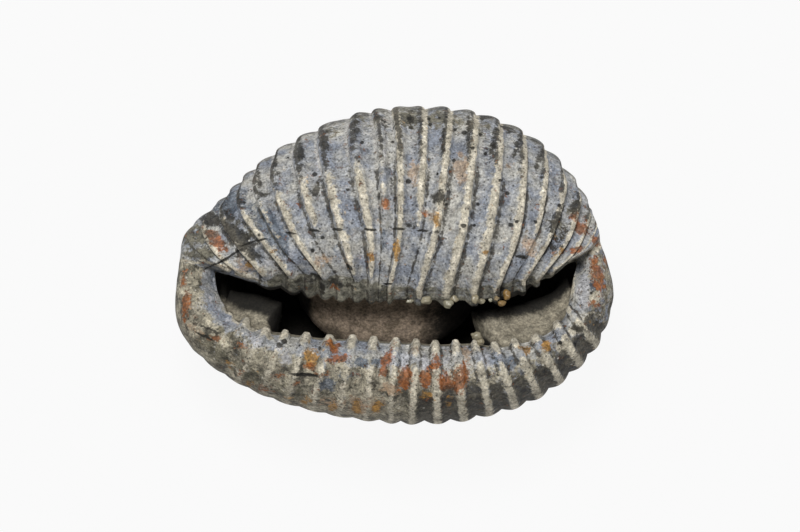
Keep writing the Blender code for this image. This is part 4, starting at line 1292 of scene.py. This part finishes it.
for size, without, radius, shade, strength in SPECKS:
    cells = add_node(tree, "ShaderNodeTexVoronoi", {"Vector": in_mm, "Scale": 1 / size})
    spot = add_node(tree, "ShaderNodeMapRange", {
        0: cells.outputs["Distance"], 1: radius, 2: radius * SPECK_CORE, 3: 0, 4: strength})
    chosen = add_node(tree, "ShaderNodeMath", {0: cells.outputs["Color"], 1: without},
                      operation="GREATER_THAN")
    chosen = add_node(tree, "ShaderNodeMath", {0: chosen.outputs[0], 1: spot.outputs[0]},
                      operation="MULTIPLY")
    chosen = add_node(tree, "ShaderNodeMath", {0: chosen.outputs[0], 1: masks["shelf"]},
                      operation="SUBTRACT", use_clamp=True)
    chosen = add_node(tree, "ShaderNodeMath", {0: chosen.outputs[0], 1: masks["inside"]},
                      operation="SUBTRACT", use_clamp=True)
    colour = add_node(tree, "ShaderNodeMix", {
        0: chosen.outputs[0], 6: colour.outputs[2], 7: linear(shade)}, data_type="RGBA")
print(len(SPECKS), "kinds of speck")

# %% [markdown]
# ## Fossil shell: grain, relief and gloss
# Last, the mottle and the grain make everything a little darker or lighter. A bump map lets
# the finest relief catch the light, because at a few hundredths of a millimetre it is too fine
# for the mesh. The surface is matt, as a rough stone is, so its roughness is high and what
# gloss it has is weaker than a plastic's.

# %% Grain, relief and gloss
BRIGHTNESS = (("mottle", 0.58, 1.32), ("grain", 0.62, 1.36))  # a noise, its darkest and lightest
GRAIN_LOW, GRAIN_HIGH = 0.33, 0.67
BUMP_STRENGTH, BUMP_DEPTH = 0.9, 0.03 * MM
STONE_ROUGHNESS = 0.8
STONE_SPECULAR = 0.35

colour = colour.outputs[2]
for name, darkest, brightest in BRIGHTNESS:
    brightness = add_node(tree, "ShaderNodeMapRange", {
        0: noises[name].outputs[0], 1: GRAIN_LOW, 2: GRAIN_HIGH, 3: darkest, 4: brightest})
    colour = add_node(tree, "ShaderNodeVectorMath", {
        0: colour, "Scale": brightness.outputs[0]}, operation="SCALE").outputs[0]
tree.links.new(colour, shader.inputs["Base Color"])
height = add_node(tree, "ShaderNodeMath", {
    0: noises["grain"].outputs[0], 1: noises["crumble"].outputs[0]}, operation="ADD")
height = add_node(tree, "ShaderNodeMath", {0: height.outputs[0], 1: chosen.outputs[0]},
                  operation="SUBTRACT")
height = add_node(tree, "ShaderNodeMath", {0: height.outputs[0], 1: marked.outputs[0]},
                  operation="SUBTRACT")
bump = add_node(tree, "ShaderNodeBump", {
    "Height": height.outputs[0], "Strength": BUMP_STRENGTH, "Distance": BUMP_DEPTH})
tree.links.new(bump.outputs[0], shader.inputs["Normal"])
shader.inputs["Roughness"].default_value = STONE_ROUGHNESS
shader.inputs["Specular IOR Level"].default_value = STONE_SPECULAR
shell_mesh.materials.append(stone)
print(stone.name, "has", len(stone.node_tree.nodes), "nodes")
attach(shell, "root")
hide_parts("shell")

# %% [markdown]
# ## Grains of sand
# A few grains of quartz are stuck along the mouth. A particle system could scatter them, but
# these have their own places. Each is a small ball that noise knocks out of shape. We drop it
# on the shell by casting rays down at its middle and round it, and let it sink in by a third,
# as though fine silt held it.

# %% Sand in the mouth
GRAINS = (  # x, y, half length and half width in millimetres, turn in degrees, and how amber
    (0.87, -0.96, 0.15, 0.10, 5, 0.2), (1.46, -1.06, 0.13, 0.11, 20, 0.1),
    (1.62, -0.92, 0.11, 0.09, 50, 0.3), (2.20, -0.92, 0.10, 0.13, 10, 0.3),
    (2.37, -0.98, 0.09, 0.08, 0, 0.2), (2.62, -0.95, 0.06, 0.05, 0, 0.0),
    (2.92, -1.03, 0.11, 0.08, 20, 0.9), (3.06, -0.81, 0.11, 0.14, -15, 1.0),
    (2.23, -1.93, 0.13, 0.11, 10, 0.2), (2.34, -2.09, 0.10, 0.09, -30, 0.3),
    (0.41, -0.98, 0.09, 0.06, 0, 0.1), (2.79, -0.90, 0.07, 0.06, 0, 0.6),
)
GRAIN_ROUGHNESS = 0.5
GRAIN_DENTS = 1.3  # dents across a ball of radius 1
GRAIN_TIP = (0.3, 0.5)  # how far every other grain is tipped, in radians times its number
GRAIN_SUNK = 0.35
PROBE_REACH = (0.6, 0.9)  # where rays go down round a grain, as shares of its half size
RAY_HEIGHT = 10


def resting_place(ground, x, y, length, width):
    """The middle of a grain that rests on the shell, sunk in a little."""
    middle = Vector((x + PLAN_SHIFT[0], y + PLAN_SHIFT[1], RAY_HEIGHT)) * MM
    dx, dy = PROBE_REACH[0] * length * MM, PROBE_REACH[1] * width * MM
    hits = [ground.ray_cast(middle + Vector((across * dx, up * dy, 0)), Vector((0, 0, -1)))[0]
            for across in (-1, 0, 1) for up in (-1, 0, 1)]
    middle.z = max(hit.z for hit in hits if hit) + (1 - 2 * GRAIN_SUNK) * width * MM
    return middle


def add_grain(bm, tint, ground, grain, number):
    """Adds one grain of sand that rests on the shell."""
    x, y, length, width, turn, amber = grain
    middle = resting_place(ground, x, y, length, width)
    size = Matrix.Diagonal((length, width, width)) * MM
    if number % 2:
        tip, roll = (angle * number for angle in GRAIN_TIP)
        size = size @ Euler((tip, roll, math.radians(turn))).to_matrix()
    for vertex in bmesh.ops.create_icosphere(bm, subdivisions=3, radius=1)["verts"]:
        dent = noise.noise(vertex.co * GRAIN_DENTS + Vector((number, 0, 0)))
        vertex.co = middle + size @ (vertex.co * (1 + GRAIN_ROUGHNESS * dent))
        vertex[tint] = amber


ground = BVHTree.FromObject(shell, bpy.context.evaluated_depsgraph_get())
bm = bmesh.new()
tint = bm.verts.layers.float.new("amber")
for number, grain in enumerate(GRAINS):
    add_grain(bm, tint, ground, grain, number)
sand_mesh = bpy.data.meshes.new("sand_grains")
bm.to_mesh(sand_mesh)
bm.free()
sand_mesh.shade_smooth()
sand = bpy.data.objects.new("sand_grains", sand_mesh)
bpy.context.scene.collection.objects.link(sand)
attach(sand, "root")
print(len(GRAINS), "grains of sand with", len(sand_mesh.polygons), "faces")

# %% [markdown]
# ## Quartz sand
# The grains are quartz that the sea has worn: glassy inside, with a frosted surface. To the eye
# that is a soft gloss and a dull grey, and amber where iron stained a grain. Quartz bends light
# as its refractive index of 1.54 says. Each grain's amber is a number on its points.

# %% Sea-worn quartz
QUARTZ_ROUGHNESS = 0.35
QUARTZ_IOR = 1.54

quartz, tree, shader = new_material("sea_worn_quartz_sand")
amber = add_node(tree, "ShaderNodeAttribute", attribute_name="amber").outputs["Fac"]
sand_colour = add_node(tree, "ShaderNodeMix", {
    0: amber, 6: linear("#8b8876"), 7: linear("#7c6136")}, data_type="RGBA")
tree.links.new(sand_colour.outputs[2], shader.inputs["Base Color"])
shader.inputs["Roughness"].default_value = QUARTZ_ROUGHNESS
shader.inputs["IOR"].default_value = QUARTZ_IOR
sand_mesh.materials.append(quartz)
print(quartz.name, "has", len(quartz.node_tree.nodes), "nodes")

# %% [markdown]
# ## Floor, light and camera
# The shell was photographed on a white light table, so there is hardly a shadow under it. The
# floor is a plain sheet of acrylic that glows by itself. It could be a bright grey surface, but
# then the shell would shade it. A softbox hangs near the camera, a little towards the body's
# side, so that slopes which turn away from it are darker, and a dim white world stands for the
# rest of the room. The camera looks straight down from 40 cm.

# %% The light table
FLOOR_HALF_SIZE = 0.5
TABLE_GLOW = 0.925
TABLE_ROUGHNESS = 0.9

bm = bmesh.new()
bmesh.ops.create_grid(bm, x_segments=1, y_segments=1, size=FLOOR_HALF_SIZE)
floor_mesh = bpy.data.meshes.new("floor")
bm.to_mesh(floor_mesh)
bm.free()
floor = bpy.data.objects.new("floor", floor_mesh)
bpy.context.scene.collection.objects.link(floor)
acrylic, tree, shader = new_material("white_acrylic_light_table")
shader.inputs["Base Color"].default_value = linear("#2c2c2c")
shader.inputs["Roughness"].default_value = TABLE_ROUGHNESS
shader.inputs["Specular IOR Level"].default_value = 0.0
shader.inputs["Emission Color"].default_value = linear("#ffffff")
shader.inputs["Emission Strength"].default_value = TABLE_GLOW
floor_mesh.materials.append(acrylic)

print("the floor is", 2 * FLOOR_HALF_SIZE, "m wide")

# %% [markdown]
# ## Light
# One area light does the work of the photographer's softbox. Its size sets how soft the
# shadows in the grooves are, and its distance hardly matters next to a shell of 12 mm.

# %% Softbox and room
VIEW_CENTRE = (0.154 * MM, -0.021 * MM, 3.5 * MM)
SOFTBOX_PLACE = (-0.03, 0.12, 0.34)
SOFTBOX_SIZE = 0.10
SOFTBOX_WATTS = 1.35
ROOM_LIGHT = 0.28

world = bpy.data.worlds.new("studio")
world.use_nodes = True
world.node_tree.nodes["Background"].inputs["Color"].default_value = linear("#ffffff")
world.node_tree.nodes["Background"].inputs["Strength"].default_value = ROOM_LIGHT
bpy.context.scene.world = world

lamp = bpy.data.lights.new("key_softbox", "AREA")
lamp.size = SOFTBOX_SIZE
lamp.energy = SOFTBOX_WATTS
softbox = bpy.data.objects.new("key_softbox", lamp)
softbox.location = SOFTBOX_PLACE
facing = Vector(VIEW_CENTRE) - Vector(SOFTBOX_PLACE)
softbox.rotation_euler = facing.to_track_quat("-Z", "Y").to_euler()
bpy.context.scene.collection.objects.link(softbox)
print("the softbox gives", SOFTBOX_WATTS, "W and is", round(facing.length, 2), "m away")

# %% [markdown]
# ## Camera
# A long lens from far away shows the shell as the photo does, almost without perspective. We
# choose the width of the view at the shell and work out the focal length from it.

# %% The camera
VIEW_WIDTH = 22.02 * MM
CAMERA_DISTANCE = 0.4
SENSOR_WIDTH = 36  # of a full-frame camera, in millimetres as Blender's lenses are
NEAR_CLIP = 0.01

lens = bpy.data.cameras.new("camera")
lens.sensor_width = SENSOR_WIDTH
lens.lens = lens.sensor_width * CAMERA_DISTANCE / VIEW_WIDTH
lens.clip_start = NEAR_CLIP
camera = bpy.data.objects.new("camera", lens)
camera.location = Vector(VIEW_CENTRE) + Vector((0, 0, CAMERA_DISTANCE))
bpy.context.scene.collection.objects.link(camera)
bpy.context.scene.camera = camera
bpy.context.scene.view_settings.view_transform = "Standard"
print("focal length", round(lens.lens), "mm")
